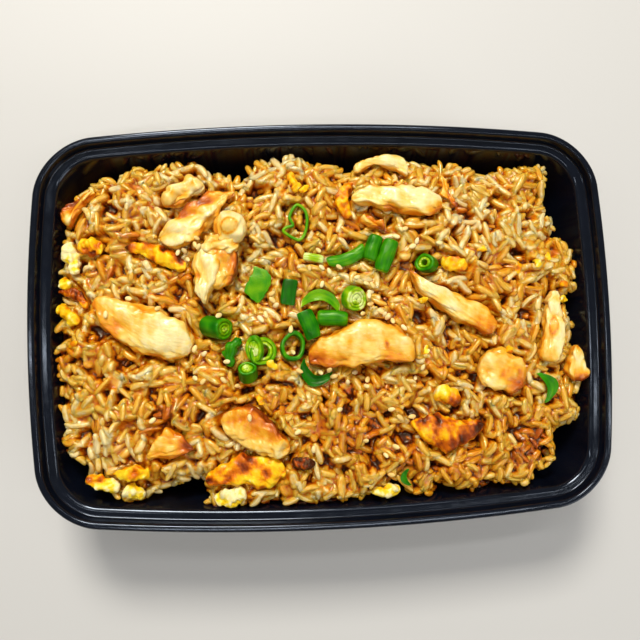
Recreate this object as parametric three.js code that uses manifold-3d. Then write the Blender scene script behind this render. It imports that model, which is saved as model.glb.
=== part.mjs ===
// Chicken fried rice in a black takeaway tray: a heap of rice with pieces of chicken,
// fried egg, spring onion and sesame seeds. Millimetres, +Z up. The origin is the middle
// of the tray's base; +X runs along the long side and +Y towards the far long side.
import * as THREE from 'three';
import { mergeVertices } from 'three/addons/utils/BufferGeometryUtils.js';
import Module from 'manifold-3d';

// Tray: its plan is four shallow arcs joined by round corners
const HALF_LENGTH = 111;
const HALF_WIDTH = 77.2;
const TRAY_HEIGHT = 45;
const LONG_SIDE_BOW = 917;
const SHORT_SIDE_BOW = 579;
const CORNER = 19.8;
const INNER_CORNER = 12.6;
const WALL = 0.9;
const FLOOR = 1.2;
const RIM_BEAD = 2.8;
const LEDGE_DEPTH = 4.1;
const LEDGE_INSET = 7.2;
const WALL_FOOT_INSET = 15;
const FOOT_RING = { outer: 21.5, inner: 31, lift: 0.8 };

// Rice: the heap's rounded top and the bare gap between it and the tray wall, read every
// ten degrees round the tray and measured at GAP_HEIGHT
const RICE_TOP = 42;
const GAP_HEIGHT = 35;
const WALL_INSET_AT_GAP = 8.4;
const SHOULDER = 6;
const SIDE_SLOPE = 1.7;
const EDGE_GAPS = [
  2.4, -1.7, 4.9, 7.6, 2.8, 3.9, 2.1, 2.4, 4.7, 4.1, 1.5, 2.4,
  7.0, 0.9, 1.6, 4.8, 1.6, 1.8, -1.6, -1.9, -1.5, 4.6, 2.0, 6.7,
  -1.8, -1.4, -3.1, -2.9, 0.2, 1.2, 0.4, 0.8, 2.2, 6.8, -1.5, -2.2,
];
const CORE_SPACING = 5;
const BUMP = 1.4;
const CAVITY_CLEARANCE = 0.5;

// Every so many points of the heap's grid carry a grain of rice, and fewer a sesame seed
const GRAIN = { length: 7, width: 2.5, thick: 2.3, stride: 23, phase: 0 };
const SEED = { length: 3.2, width: 2, thick: 1.2, stride: 43, phase: 9 };
const CLEARANCE = 0.35;

// Chicken: pieces given by the two ends of their middle line. bow bends that line to its
// left, fullest is where along it the piece is widest, sink is how far it has sunk in the rice
const CHICKEN = [
  { name: 'left_slab', from: [-87, 10], to: [-51, -8.4], bow: -2, width: 16.8, thick: 8, fullest: 0.42,
    blunt: 2.7, sink: 1.6, roll: 8 },
  { name: 'far_slice', from: [11, 47.6], to: [46.2, 45], bow: 0.4, width: 10.8, thick: 6.5, fullest: 0.6,
    blunt: 2.3, sink: 0.6, roll: -6 },
  { name: 'right_strip', from: [30.6, 21.6], to: [65, -4.4], bow: -1.7, width: 10, thick: 7.5,
    fullest: 0.66,
    blunt: 2.6, sink: 0.8, roll: -8 },
  { name: 'middle_chunk', from: [-7.2, -12.8], to: [34, -11.6], bow: 2.2, width: 15, thick: 8.5,
    fullest: 0.58,
    blunt: 2.8, sink: 1.2, roll: 6 },
  { name: 'lower_chunk', from: [-40.3, -34.2], to: [-15.3, -47.2], bow: 1, width: 14.2, thick: 8,
    fullest: 0.4,
    blunt: 2.6, sink: 1.6, roll: 5 },
  { name: 'pulled_piece', from: [-34.6, 43.6], to: [-45.1, 8], bow: 1.2, width: 14.4, thick: 8,
    fullest: 0.4,
    blunt: 2.3, sink: 1.2, roll: 0 },
  { name: 'browned_strip', from: [-35.8, 50], to: [-62.3, 32.2], bow: -1.1, width: 12, thick: 7,
    fullest: 0.6,
    blunt: 2.4, sink: 1.4, roll: 10 },
  { name: 'round_chunk', from: [58, -18.4], to: [76.2, -23.2], bow: 0.6, width: 15.6, thick: 8.5,
    fullest: 0.52,
    blunt: 2.8, sink: 2.2, roll: 0 },
  { name: 'right_sliver', from: [90.6, 10.4], to: [85.8, -17.2], bow: -0.5, width: 8.8, thick: 6,
    fullest: 0.6,
    blunt: 2.5, sink: 1.2, roll: 8 },
  { name: 'hooked_piece', from: [12.6, 60], to: [34, 58.8], bow: 3.4, width: 7.4, thick: 6, fullest: 0.62,
    blunt: 2.6, sink: 0.6, roll: 0 },
  { name: 'golden_piece', from: [-68.2, -47.4], to: [-51, -45.4], bow: 2.6, width: 9.6, thick: 6,
    fullest: 0.46,
    blunt: 2.3, sink: 1.6, roll: 0 },
  { name: 'edge_piece', from: [98.4, -11], to: [96.8, -25.2], bow: -0.8, width: 7.4, thick: 6.5,
    fullest: 0.45,
    blunt: 2.5, sink: 1.2, roll: 0 },
  { name: 'corner_piece', from: [-98.6, 41], to: [-87, 53], bow: 1.6, width: 6, thick: 5, fullest: 0.5,
    blunt: 2.4, sink: 0.8, roll: 0 },
  { name: 'golden_shred', from: [-61.4, 48.2], to: [-45, 54.4], bow: 0.2, width: 9, thick: 5, fullest: 0.55,
    blunt: 2.4, sink: 1.2, roll: 0 },
  { name: 'fibre_shred', from: [47.4, 57], to: [52.2, 44.2], bow: -0.3, width: 4.8, thick: 4, fullest: 0.6,
    blunt: 2.3, sink: 0.6, roll: 0 },
  { name: 'brown_strip', from: [15, 41.2], to: [24, 35], bow: 0.6, width: 4.4, thick: 3.6, fullest: 0.5,
    blunt: 2.5, sink: 0.8, roll: 0 },
];

// Fried egg, in the same terms: thinner, crinkled pieces
const EGG = [
  { name: 'yellow_strip', from: [-75, 31], to: [-52.2, 22.6], bow: 1.6, width: 5.8, thick: 3.8,
    fullest: 0.6 },
  { name: 'browned_piece', from: [-47, -57.6], to: [-16.8, -55.4], bow: 1, width: 10, thick: 5.4,
    fullest: 0.6, sink: 0.8 },
  { name: 'charred_piece', from: [31, -39], to: [59, -40], bow: -1.6, width: 12.6, thick: 6,
    fullest: 0.4, sink: 1.2 },
  { name: 'far_crescent', from: [11.6, 54.4], to: [8.8, 40.2], bow: -3, width: 5.8, thick: 3.8,
    fullest: 0.5 },
  { name: 'lower_left_blob', from: [-81, -53.6], to: [-67.4, -54], bow: 0.8, width: 5.6, thick: 4,
    fullest: 0.6 },
  { name: 'left_pale_piece', from: [-96.6, 34], to: [-94, 21.4], bow: 0, width: 5, thick: 4, fullest: 0.5 },
  { name: 'left_edge_strip', from: [-101, 15.8], to: [-89.6, 8.4], bow: 2, width: 3.4, thick: 3,
    fullest: 0.5 },
  { name: 'near_pale_piece', from: [-44, -65], to: [-32, -62.4], bow: -0.4, width: 6.8, thick: 3.6,
    fullest: 0.5 },
  { name: 'far_yellow_bit', from: [-12.4, 59], to: [-9.6, 51], bow: -0.3, width: 3.6, thick: 3,
    fullest: 0.5 },
  { name: 'yellow_brown_bit', from: [40.4, -27.6], to: [50.2, -31.2], bow: 0.3, width: 7.2,
    thick: 4.4, fullest: 0.4 },
  { name: 'near_yellow_bit', from: [15, -64.4], to: [26.8, -64.8], bow: 0.3, width: 4, thick: 3.4,
    fullest: 0.6 },
  { name: 'left_golden_bit', from: [-92.4, 31.6], to: [-83, 30.6], bow: 0, width: 5.6, thick: 4,
    fullest: 0.5 },
  { name: 'right_golden_bit', from: [45.4, 23.8], to: [54.6, 20], bow: 0, width: 6, thick: 4,
    fullest: 0.45 },
  { name: 'corner_white_bit', from: [-91, -54.6], to: [-79.4, -60], bow: 0.2, width: 5.4, thick: 4,
    fullest: 0.5 },
  { name: 'corner_pale_bit', from: [-77, -58.8], to: [-70.6, -63.6], bow: 0.1, width: 5.2,
    thick: 4, fullest: 0.5 },
  { name: 'charred_bit', from: [-14.6, -51.4], to: [-5.6, -52.6], bow: 0, width: 5.6, thick: 4,
    fullest: 0.5 },
  { name: 'left_tip_bit', from: [-101.6, 9.6], to: [-92.6, 3], bow: 0.2, width: 4.6, thick: 3.6,
    fullest: 0.45 },
  { name: 'left_cap_bit', from: [-99.6, 20.6], to: [-96.8, 16.2], bow: 0.2, width: 4, thick: 3.4,
    fullest: 0.4 },
];

// Spring onion: thin leaf pieces, by the ends of their middle line. point narrows the ends,
// curl lifts the long edges, arch lifts the middle and sink is negative where they lie higher
const ONION_LEAVES = [
  { name: 'leaf_patch', from: [-26, 22.4], to: [-25.6, 9], bow: 0.4, width: 10, thick: 0.8,
    sink: -0.3, curl: 0.6,
    arch: 1, point: 0.75 },
  { name: 'dark_patch', from: [-13.2, 17], to: [-14.4, 7.8], bow: 0, width: 5.4, thick: 0.8,
    sink: -1, curl: -0.7,
    arch: 0.3, point: 0.1 },
  { name: 'light_arc', from: [-8, 10.2], to: [6, 5.6], bow: 3, width: 4.8, thick: 0.9, sink: -1.4,
    curl: 0.9,
    arch: 1.2, point: 0.5 },
  { name: 'standing_patch', from: [-8.6, 5], to: [-4.8, -5.4], bow: 0.2, width: 6.2, thick: 0.8,
    sink: -4.4, curl: -1,
    arch: 0.6, point: 0.15 },
  { name: 'dark_fold', from: [-9.4, -14.4], to: [1.2, -20.4], bow: -4.2, width: 4.6, thick: 1,
    sink: -0.3, curl: 1.1,
    arch: 0, point: 0.3 },
  { name: 'right_leaf', from: [81.4, -21.4], to: [84.6, -33], bow: 3.8, width: 4.6, thick: 0.9,
    sink: -0.3, curl: 0.8,
    arch: 0.8, point: 0.6 },
  { name: 'near_curl', from: [29.4, -56], to: [30.4, -62.6], bow: -2.2, width: 2.4, thick: 0.9,
    sink: -0.3, curl: 0.4,
    arch: 0, point: 0.3 },
];

// Spring onion: rolled or flattened lengths of leaf, as solid as they lie
const ONION_ROLLS = [
  { name: 'roll_behind_chunk', from: [-3.4, 2.4], to: [8.2, 1.6], bow: 0.2, width: 6, thick: 4.4,
    fullest: 0.5 },
  { name: 'double_tube_left', from: [19.2, 31.4], to: [20.4, 20.4], bow: -0.3, width: 5.6,
    thick: 5, fullest: 0.5 },
  { name: 'double_tube_right', from: [25.6, 31.2], to: [26.4, 17.8], bow: -0.3, width: 6,
    thick: 5.2, fullest: 0.5 },
  { name: 'green_strip', from: [1, 23.6], to: [15.8, 28.8], bow: -1.6, width: 5, thick: 2.8, fullest: 0.6 },
  { name: 'yellow_green_tip', from: [-8, 26], to: [-0.4, 24.4], bow: 0.3, width: 3.2, thick: 1.8,
    fullest: 0.5 },
  { name: 'dark_chain', from: [-33.2, -4.6], to: [-37, -14.6], bow: -1.2, width: 5.8, thick: 3.8,
    fullest: 0.5 },
];

// Spring onion: cross-cut rings and stem slices, each leaning towards a compass direction
const ONION_RINGS = [
  { name: 'stem_slice_pale', at: [10.6, 9.2], radius: 4.9, squash: 0.9, wall: 2.9, height: 5.6,
    lift: 3.2, lean: 32, towards: -30 },
  { name: 'small_ring', at: [39.6, 22.2], radius: 3.9, squash: 0.95, wall: 1.5, height: 5, lift: 2,
    lean: 38, towards: 170 },
  { name: 'left_tube', at: [-41, -0.4], radius: 4.9, squash: 0.95, wall: 2.1, height: 7, lift: 2.4,
    lean: 42, towards: -20 },
  { name: 'stem_slice_green', at: [-25.4, -9.6], radius: 5.3, squash: 0.95, wall: 2.6, height: 4,
    lift: 2, lean: 18, towards: 170 },
  { name: 'stem_end', at: [-30.2, -17.6], radius: 3.4, squash: 0.95, wall: 2, height: 6, lift: 2,
    lean: 32, towards: 90 },
  { name: 'open_ring', at: [-13, -8.2], radius: 5, squash: 0.86, wall: 1.2, height: 2.8, lift: 1.4,
    lean: 8, towards: 60 },
];

// Spring onion: one thin ring lies squeezed into the shape of a heart
const HEART_RING = {
  at: [-10.4, 39.2],
  lift: 1.7,
  band: 1.2,
  height: 1.8,
  outline: [[-2.4, 2.4], [0.5, 6.8], [3.9, 3.9], [3.9, -2.3], [1.1, -6.7], [-4.6, -3.6], [-3.9, -1.9], [-1.2, -0.9]],
};

const COLOURS = {
  tray: { color: 0x0b0d12, roughness: 0.2 },
  rice: { color: 0xd9b277, roughness: 0.45 },
  chicken: { color: 0xf0cf8e, roughness: 0.5 },
  egg: { color: 0xf2b424, roughness: 0.45 },
  onion: { color: 0x3fa01c, roughness: 0.35 },
};

const wasm = await Module();
wasm.setup();

// A repeatable stream of numbers from 0 to 1
function randomStream(seed) {
  let state = seed;
  return () => {
    state = (state + 0x6d2b79f5) | 0;
    let mixed = Math.imul(state ^ (state >>> 15), 1 | state);
    mixed = (mixed + Math.imul(mixed ^ (mixed >>> 7), 61 | mixed)) ^ mixed;
    return ((mixed ^ (mixed >>> 14)) >>> 0) / 4294967296;
  };
}

// Closed solid from points and triangles; the triangles are turned outwards if need be
function solidFrom(points, faces) {
  let volume = 0;
  const [a, b, c] = [new THREE.Vector3(), new THREE.Vector3(), new THREE.Vector3()];
  for (const [i, j, k] of faces) {
    a.fromArray(points[i]);
    b.fromArray(points[j]);
    c.fromArray(points[k]);
    volume += a.dot(b.cross(c));
  }
  const outward = volume > 0 ? faces : faces.map(([i, j, k]) => [i, k, j]);
  const geometry = new THREE.BufferGeometry();
  geometry.setAttribute('position', new THREE.Float32BufferAttribute(points.flat(), 3));
  geometry.setIndex(outward.flat());
  const merged = mergeVertices(geometry, 1e-5);
  return new wasm.Manifold(new wasm.Mesh({
    numProp: 3,
    vertProperties: merged.attributes.position.array,
    triVerts: Uint32Array.from(merged.index.array),
  }));
}

// Skin over a row of rings that all have the same number of points, closed by a point at each end
function loftBetweenPoles(start, rings, end) {
  const sides = rings[0].length;
  const points = [start, ...rings.flat(), end];
  const last = points.length - 1;
  const faces = [];
  for (let j = 0; j < sides; j++) {
    const next = (j + 1) % sides;
    faces.push([0, 1 + next, 1 + j]);
    faces.push([last, last - sides + j, last - sides + next]);
    for (let i = 0; i + 1 < rings.length; i++) {
      const near = 1 + i * sides;
      const far = near + sides;
      faces.push([near + j, near + next, far + next]);
      faces.push([near + j, far + next, far + j]);
    }
  }
  return solidFrom(points, faces);
}

// Skin over a row of sections that closes on itself both ways, as a ring does
function loftAround(sections) {
  const sides = sections[0].length;
  const faces = [];
  for (let i = 0; i < sections.length; i++) {
    const here = i * sides;
    const there = ((i + 1) % sections.length) * sides;
    for (let j = 0; j < sides; j++) {
      const next = (j + 1) % sides;
      faces.push([here + j, there + j, there + next]);
      faces.push([here + j, there + next, here + next]);
    }
  }
  return solidFrom(sections.flat(), faces);
}

// One loop of the tray's plan, moved in from the outer edge, with its own corner radius
function planLoop(inset, corner, z, steps) {
  const longR = LONG_SIDE_BOW - inset;
  const shortR = SHORT_SIDE_BOW - inset;
  const longY = HALF_WIDTH - LONG_SIDE_BOW;
  const shortX = HALF_LENGTH - SHORT_SIDE_BOW;
  const between = Math.hypot(shortX, longY);
  const reach = longR - corner;
  const along = (reach ** 2 - (shortR - corner) ** 2 + between ** 2) / (2 * between);
  const across = Math.sqrt(reach ** 2 - along ** 2);
  const ux = shortX / between;
  const uy = -longY / between;
  const cornerX = ux * along + uy * across;
  const cornerY = longY + uy * along - ux * across;
  const longAngle = Math.atan2(cornerY - longY, cornerX);
  const shortAngle = Math.atan2(cornerY, cornerX - shortX);
  const quarter = [];
  const addArc = (cx, cy, r, from, to, count) => {
    for (let i = 0; i < count; i++) {
      const angle = from + ((to - from) * i) / count;
      quarter.push([cx + r * Math.cos(angle), cy + r * Math.sin(angle)]);
    }
  };
  addArc(shortX, 0, shortR, 0, shortAngle, steps.short);
  addArc(cornerX, cornerY, corner, shortAngle, longAngle, steps.corner);
  addArc(0, longY, longR, longAngle, Math.PI / 2, steps.long);
  const top = [0, HALF_WIDTH - inset];
  const end = [HALF_LENGTH - inset, 0];
  const inner = quarter.slice(1);
  const loop = [
    end,
    ...inner,
    top,
    ...inner.toReversed().map(([x, y]) => [-x, y]),
    [-end[0], 0],
    ...inner.map(([x, y]) => [-x, -y]),
    [0, -top[1]],
    ...inner.toReversed().map(([x, y]) => [x, -y]),
  ];
  return loop.map(([x, y]) => [x, y, z]);
}

// How far a place lies inside the tray's outer edge
function insetAt(x, y) {
  const fromLong = LONG_SIDE_BOW - Math.hypot(x, Math.abs(y) - (HALF_WIDTH - LONG_SIDE_BOW));
  const fromShort = SHORT_SIDE_BOW - Math.hypot(Math.abs(x) - (HALF_LENGTH - SHORT_SIDE_BOW), y);
  if (fromLong < CORNER && fromShort < CORNER) {
    return CORNER - Math.hypot(CORNER - fromLong, CORNER - fromShort);
  }
  return Math.min(fromLong, fromShort);
}

function innerCorner(inset) {
  return Math.max(CORNER - inset, INNER_CORNER);
}

function makeTray() {
  const top = TRAY_HEIGHT;
  const ledge = top - LEDGE_DEPTH;
  const levels = [
    [FOOT_RING.inner + 1.6, FLOOR + FOOT_RING.lift],
    [FOOT_RING.inner, FLOOR],
    [FOOT_RING.outer, FLOOR],
    [17.4, FLOOR + 1.4],
    [WALL_FOOT_INSET, FLOOR + 5],
    [LEDGE_INSET + 0.8, ledge - 2.3],
    [LEDGE_INSET - 0.5, ledge],
    [4.1, ledge + 0.1],
    [3.3, ledge + 0.8],
    [RIM_BEAD - 0.2, top - 0.5],
    [1.9, top],
    [1, top],
    [0.2, top - 0.9],
    [0, top - 5],
    [WALL, top - 5],
    [WALL + 0.4, top - 1.1],
    [1.9, top - 1],
    [2.3, ledge - 0.4],
    [LEDGE_INSET - 0.8, ledge - WALL],
    [WALL_FOOT_INSET - WALL, FLOOR + 4.6],
    [16.9, FLOOR],
    [FOOT_RING.outer - 0.4, 0],
    [FOOT_RING.inner + 0.4, 0],
    [FOOT_RING.inner + 2, FOOT_RING.lift],
  ];
  const steps = { long: 3, corner: 5, short: 2 };
  const rings = levels.map(([inset, z]) => planLoop(inset, innerCorner(inset), z, steps));
  return loftBetweenPoles([0, 0, FLOOR + FOOT_RING.lift], rings, [0, 0, FOOT_RING.lift]);
}

// The room inside the tray's walls, carried up past the rim
function makeCavity() {
  const ledge = TRAY_HEIGHT - LEDGE_DEPTH;
  const c = CAVITY_CLEARANCE;
  const levels = [
    [FOOT_RING.outer, FLOOR + FOOT_RING.lift + c],
    [17.4 + c, FLOOR + FOOT_RING.lift + 1 + c],
    [WALL_FOOT_INSET + c, FLOOR + 5 + c],
    [LEDGE_INSET + 0.8 + c, ledge - 2.3],
    [LEDGE_INSET + c, TRAY_HEIGHT + 20],
  ];
  const steps = { long: 2, corner: 3, short: 1 };
  const rings = levels.map(([inset, z]) => planLoop(inset, innerCorner(inset), z, steps));
  return loftBetweenPoles([0, 0, levels[0][1]], rings, [0, 0, TRAY_HEIGHT + 20]);
}

// The bare gap beside the rice in the direction of a place, eased between the read values
function edgeGap(x, y) {
  const turn = ((Math.atan2(y, x) / (2 * Math.PI) + 1) % 1) * EDGE_GAPS.length;
  const index = Math.floor(turn);
  const part = turn - index;
  const ease = part * part * (3 - 2 * part);
  const next = EDGE_GAPS[(index + 1) % EDGE_GAPS.length];
  return EDGE_GAPS[index % EDGE_GAPS.length] * (1 - ease) + next * ease;
}

// Smooth top of the heap: a rounded shoulder inside the rice's edge, a steep side outside it
function heapTop(x, y) {
  const inside = insetAt(x, y) - WALL_INSET_AT_GAP - edgeGap(x, y);
  const clumps = 0.9 * Math.sin(x / 9.3 + 1.7) * Math.sin(y / 8.1 - 0.6) + 0.5 * Math.sin(x / 4.9 - y / 6.3);
  if (inside < 0) {
    return GAP_HEIGHT + SIDE_SLOPE * inside;
  }
  const rise = 1 - Math.exp(-inside / SHOULDER);
  return GAP_HEIGHT + (RICE_TOP - GAP_HEIGHT + clumps) * rise;
}

// Bumpy block under the heap's surface, cut to the room in the tray, and the points on its top
function makeRiceCore(cavity) {
  const random = randomStream(7);
  const [spanX, spanY] = [2 * (HALF_LENGTH - LEDGE_INSET), 2 * (HALF_WIDTH - LEDGE_INSET)];
  const columns = Math.round(spanX / CORE_SPACING);
  const rows = Math.round(spanY / CORE_SPACING);
  const points = [];
  for (let j = 0; j <= rows; j++) {
    for (let i = 0; i <= columns; i++) {
      const border = i === 0 || j === 0 || i === columns || j === rows;
      const stray = () => (border ? 0 : (random() - 0.5) * 0.5);
      const stagger = border ? 0 : 0.5 * (j % 2) - 0.25;
      const x = ((i + stagger + stray()) / columns - 0.5) * spanX;
      const y = ((j + stray()) / rows - 0.5) * spanY;
      const z = Math.max(heapTop(x, y) - BUMP * random(), FLOOR + 0.5);
      points.push([x, y, z]);
    }
  }
  const top = points.slice();
  const bottom = points.length;
  points.push([0, 0, -5]);
  const index = (i, j) => j * (columns + 1) + i;
  const faces = [];
  for (let j = 0; j < rows; j++) {
    for (let i = 0; i < columns; i++) {
      const [a, b, c, d] = [index(i, j), index(i + 1, j), index(i + 1, j + 1), index(i, j + 1)];
      if (j % 2) {
        faces.push([a, b, c], [a, c, d]);
      } else {
        faces.push([a, b, d], [b, c, d]);
      }
    }
    faces.push([index(0, j + 1), bottom, index(0, j)], [index(columns, j), bottom, index(columns, j + 1)]);
  }
  for (let i = 0; i < columns; i++) {
    faces.push([index(i, 0), bottom, index(i + 1, 0)], [index(i + 1, rows), bottom, index(i, rows)]);
  }
  return { core: solidFrom(points, faces).intersect(cavity), top };
}

// Middle line of a piece: place, direction and height at t from 0 to 1
function middleLine(piece, grow) {
  const from = new THREE.Vector2(...piece.from);
  const to = new THREE.Vector2(...piece.to);
  const along = to.clone().sub(from).normalize();
  from.addScaledVector(along, -grow);
  to.addScaledVector(along, grow);
  const side = new THREE.Vector2(-along.y, along.x);
  const inward = (t) => from.clone().lerp(to, t);
  const [near, far] = [inward(0.15), inward(0.85)];
  const seatFrom = heapTop(near.x, near.y);
  const seatTo = heapTop(far.x, far.y);
  const arch = piece.arch ?? 0;
  return (t) => {
    const swell = 4 * t * (1 - t);
    const place = inward(t).addScaledVector(side, piece.bow * swell);
    const rest = 0.4 * piece.thick + CLEARANCE - (piece.sink ?? 0);
    const height = seatFrom + (seatTo - seatFrom) * t + arch * swell + rest;
    return { place, height, side };
  };
}

// Rounded morsel: oval sections along the middle line, lumpy, with a flatter underside
function makeMorsel(piece, { stations, sides, lumps, seed }, grow = 0) {
  const line = middleLine(piece, grow);
  const warp = Math.log(0.5) / Math.log(piece.fullest);
  const blunt = piece.blunt ?? 2.6;
  const roll = THREE.MathUtils.degToRad(piece.roll ?? 0);
  const rings = [];
  for (let i = 1; i < stations; i++) {
    const t = (1 - Math.cos((Math.PI * i) / stations)) / 2;
    const fullness = (1 - Math.abs(2 * t ** warp - 1) ** blunt) ** (1 / blunt);
    const { place, height, side } = line(t);
    const ring = [];
    for (let j = 0; j < sides; j++) {
      const angle = (2 * Math.PI * j) / sides;
      const wave = 0.6 * Math.sin(2 * angle + 9 * t + seed) + 0.4 * Math.sin(3 * angle - 14 * t + 2 * seed);
      const size = 1 + lumps * wave;
      const under = Math.sin(angle) < 0 ? 0.8 : 1;
      const wide = (piece.width / 2 + grow) * fullness * Math.cos(angle) * size;
      const tall = (piece.thick / 2 + grow) * (0.3 + 0.7 * fullness) * fullness ** 0.4;
      const high = tall * Math.sin(angle) * size * under;
      const across = wide * Math.cos(roll) - high * Math.sin(roll);
      const up = wide * Math.sin(roll) + high * Math.cos(roll);
      ring.push([place.x + side.x * across, place.y + side.y * across, height + up]);
    }
    rings.push(ring);
  }
  const pole = (t) => [line(t).place.x, line(t).place.y, line(t).height];
  return loftBetweenPoles(pole(0), rings, pole(1));
}

// Thin wavy leaf: the same grid of points on its upper and its under side
function makeLeaf(piece, grow = 0) {
  const line = middleLine(piece, grow);
  const stations = 5;
  const columns = 2;
  const half = piece.thick / 2 + grow;
  const upper = [];
  const lower = [];
  for (let i = 0; i <= stations; i++) {
    const t = i / stations;
    const { place, height, side } = line(t);
    const width = piece.width / 2 + grow;
    const narrow = 1 - piece.point * Math.abs(2 * t - 1) ** 2.2;
    for (let j = 0; j <= columns; j++) {
      const s = (2 * j) / columns - 1;
      const across = width * narrow * s;
      const wave = piece.curl * s * s + 0.25 * Math.sin(5 * t + 3 * s);
      const [x, y] = [place.x + side.x * across, place.y + side.y * across];
      upper.push([x, y, height + wave + half]);
      lower.push([x, y, height + wave - half]);
    }
  }
  const row = columns + 1;
  const count = upper.length;
  const faces = [];
  const wall = (a, b) => faces.push([a, b, b + count], [a, b + count, a + count]);
  for (let i = 0; i < stations; i++) {
    for (let j = 0; j < columns; j++) {
      const a = i * row + j;
      faces.push([a, a + 1, a + row + 1], [a, a + row + 1, a + row]);
      const b = a + count;
      faces.push([b, b + row + 1, b + 1], [b, b + row, b + row + 1]);
    }
    wall(i * row, (i + 1) * row);
    wall((i + 1) * row + columns, i * row + columns);
  }
  for (let j = 0; j < columns; j++) {
    wall(j + 1, j);
    wall(stations * row + j, stations * row + j + 1);
  }
  return solidFrom([...upper, ...lower], faces);
}

// Cross-cut ring or stem slice, leaning over towards its compass direction
function makeRing(ring, grow = 0, filled = false) {
  const count = 10;
  const compass = THREE.MathUtils.degToRad(ring.towards);
  const hinge = new THREE.Vector3(-Math.sin(compass), Math.cos(compass), 0);
  const lean = new THREE.Matrix4().makeRotationAxis(hinge, THREE.MathUtils.degToRad(ring.lean));
  const centre = new THREE.Vector3(...ring.at, heapTop(...ring.at) + ring.lift);
  const outer = ring.radius + grow;
  const inner = Math.max(ring.radius - ring.wall - grow, 0.3);
  const half = ring.height / 2 + grow;
  const placed = (radius, z, angle) => {
    const p = new THREE.Vector3(radius * Math.cos(angle), radius * ring.squash * Math.sin(angle), z);
    return p.applyMatrix4(lean).add(centre).toArray();
  };
  const angles = Array.from({ length: count }, (_, i) => (2 * Math.PI * i) / count);
  if (filled) {
    const rings = [-half, half].map((z) => angles.map((angle) => placed(outer, z, angle)));
    return loftBetweenPoles(placed(0, -half, 0), rings, placed(0, half, 0));
  }
  const section = (angle) => [
    placed(outer, -half, angle),
    placed(outer, half, angle),
    placed(inner, half, angle),
    placed(inner, -half, angle),
  ];
  return loftAround(angles.map(section));
}

function makeHeartRing(grow = 0) {
  const curve = new THREE.CatmullRomCurve3(HEART_RING.outline.map(([x, y]) => new THREE.Vector3(x, y, 0)), true);
  const seat = heapTop(...HEART_RING.at) + HEART_RING.lift;
  const half = HEART_RING.height / 2 + grow;
  const band = HEART_RING.band / 2 + grow;
  const count = 16;
  const sections = [];
  for (let i = 0; i < count; i++) {
    const p = curve.getPointAt(i / count);
    const tangent = curve.getTangentAt(i / count);
    const corner = (out, z) => [
      HEART_RING.at[0] + p.x + tangent.y * out,
      HEART_RING.at[1] + p.y - tangent.x * out,
      seat + z,
    ];
    sections.push([corner(band, -half), corner(band, half), corner(-band, half), corner(-band, -half)]);
  }
  return loftAround(sections);
}

// Grain or seed: a short spindle of two rings, turned and tipped to lie on the heap
function makeSpindle({ length, width, thick }, x, y, z, yaw, pitch) {
  const turn = new THREE.Matrix4().makeRotationFromEuler(new THREE.Euler(0, -pitch, yaw, 'ZYX'));
  const sides = 5;
  const place = (along, across, up) => {
    const p = new THREE.Vector3(along, across, up).applyMatrix4(turn);
    return [p.x + x, p.y + y, p.z + z];
  };
  const rings = [-0.27, 0.27].map((along) => {
    const ring = [];
    for (let j = 0; j < sides; j++) {
      const angle = (2 * Math.PI * (j + 0.5)) / sides;
      ring.push(place(along * length, (width / 2) * Math.cos(angle), (thick / 2) * Math.sin(angle)));
    }
    return ring;
  });
  return loftBetweenPoles(place(-length / 2, 0, 0), rings, place(length / 2, 0, 0));
}

// Sets a spindle on every so many points of the heap's top. One that would cross a topping,
// come near the wall or barely touch the heap is skipped
function fuseScattered(heap, top, size, keepOut, seed) {
  const random = randomStream(seed);
  let fused = heap;
  top.forEach(([x, y, z], i) => {
    const yaw = random() * Math.PI;
    if (i % size.stride !== size.phase || insetAt(x, y) < WALL_INSET_AT_GAP + size.length / 2) {
      return;
    }
    const [dx, dy] = [Math.cos(yaw) * size.length * 0.4, Math.sin(yaw) * size.length * 0.4];
    const pitch = Math.atan2(heapTop(x + dx, y + dy) - heapTop(x - dx, y - dy), size.length * 0.8);
    const spindle = makeSpindle(size, x, y, z + 0.1 * size.thick, yaw, pitch);
    const held = spindle.intersect(fused).volume() > 0.2 * spindle.volume();
    if (held && Math.abs(pitch) < 0.8 && spindle.intersect(keepOut).isEmpty()) {
      fused = fused.add(spindle);
    }
  });
  return fused;
}

function makeMesh(name, solid, colour) {
  const mesh = solid.getMesh();
  const geometry = new THREE.BufferGeometry();
  geometry.setAttribute('position', new THREE.Float32BufferAttribute(mesh.vertProperties, 3));
  geometry.setIndex(Array.from(mesh.triVerts));
  geometry.computeVertexNormals();
  const node = new THREE.Mesh(geometry, new THREE.MeshStandardMaterial({ ...colour, metalness: 0 }));
  node.name = name;
  return node;
}

const LARGE = { stations: 8, sides: 8, lumps: 0.07 };
const SMALL = { stations: 6, sides: 7, lumps: 0.12 };
const SMOOTH = { stations: 6, sides: 6, lumps: 0.04 };
const HOLLOW = { stations: 5, sides: 6, lumps: 0 };

// Every topping, from the top of the pile down: its solid at a given growth, the space that it
// keeps clear of other toppings, and the hollow that it presses in the rice
const toppings = [];
function addTopping(name, colour, make, hollow = () => make(CLEARANCE), space = hollow) {
  toppings.push({ name, colour, solid: make(0), space: space(), hollow: hollow() });
}
function addMorsel(name, colour, piece, shape) {
  const make = (grow) => makeMorsel(piece, shape, grow);
  const hollow = () => makeMorsel(piece, { ...HOLLOW, seed: 0 }, CLEARANCE + 0.07 * piece.width);
  addTopping(name, colour, make, hollow, () => make(CLEARANCE));
}
addTopping('onion_heart_ring', COLOURS.onion, makeHeartRing);
for (const leaf of ONION_LEAVES) {
  addTopping(`onion_${leaf.name}`, COLOURS.onion, (grow) => makeLeaf(leaf, grow));
}
for (const ring of ONION_RINGS) {
  const filled = () => makeRing(ring, CLEARANCE, true);
  addTopping(`onion_${ring.name}`, COLOURS.onion, (grow) => makeRing(ring, grow), filled);
}
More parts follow.
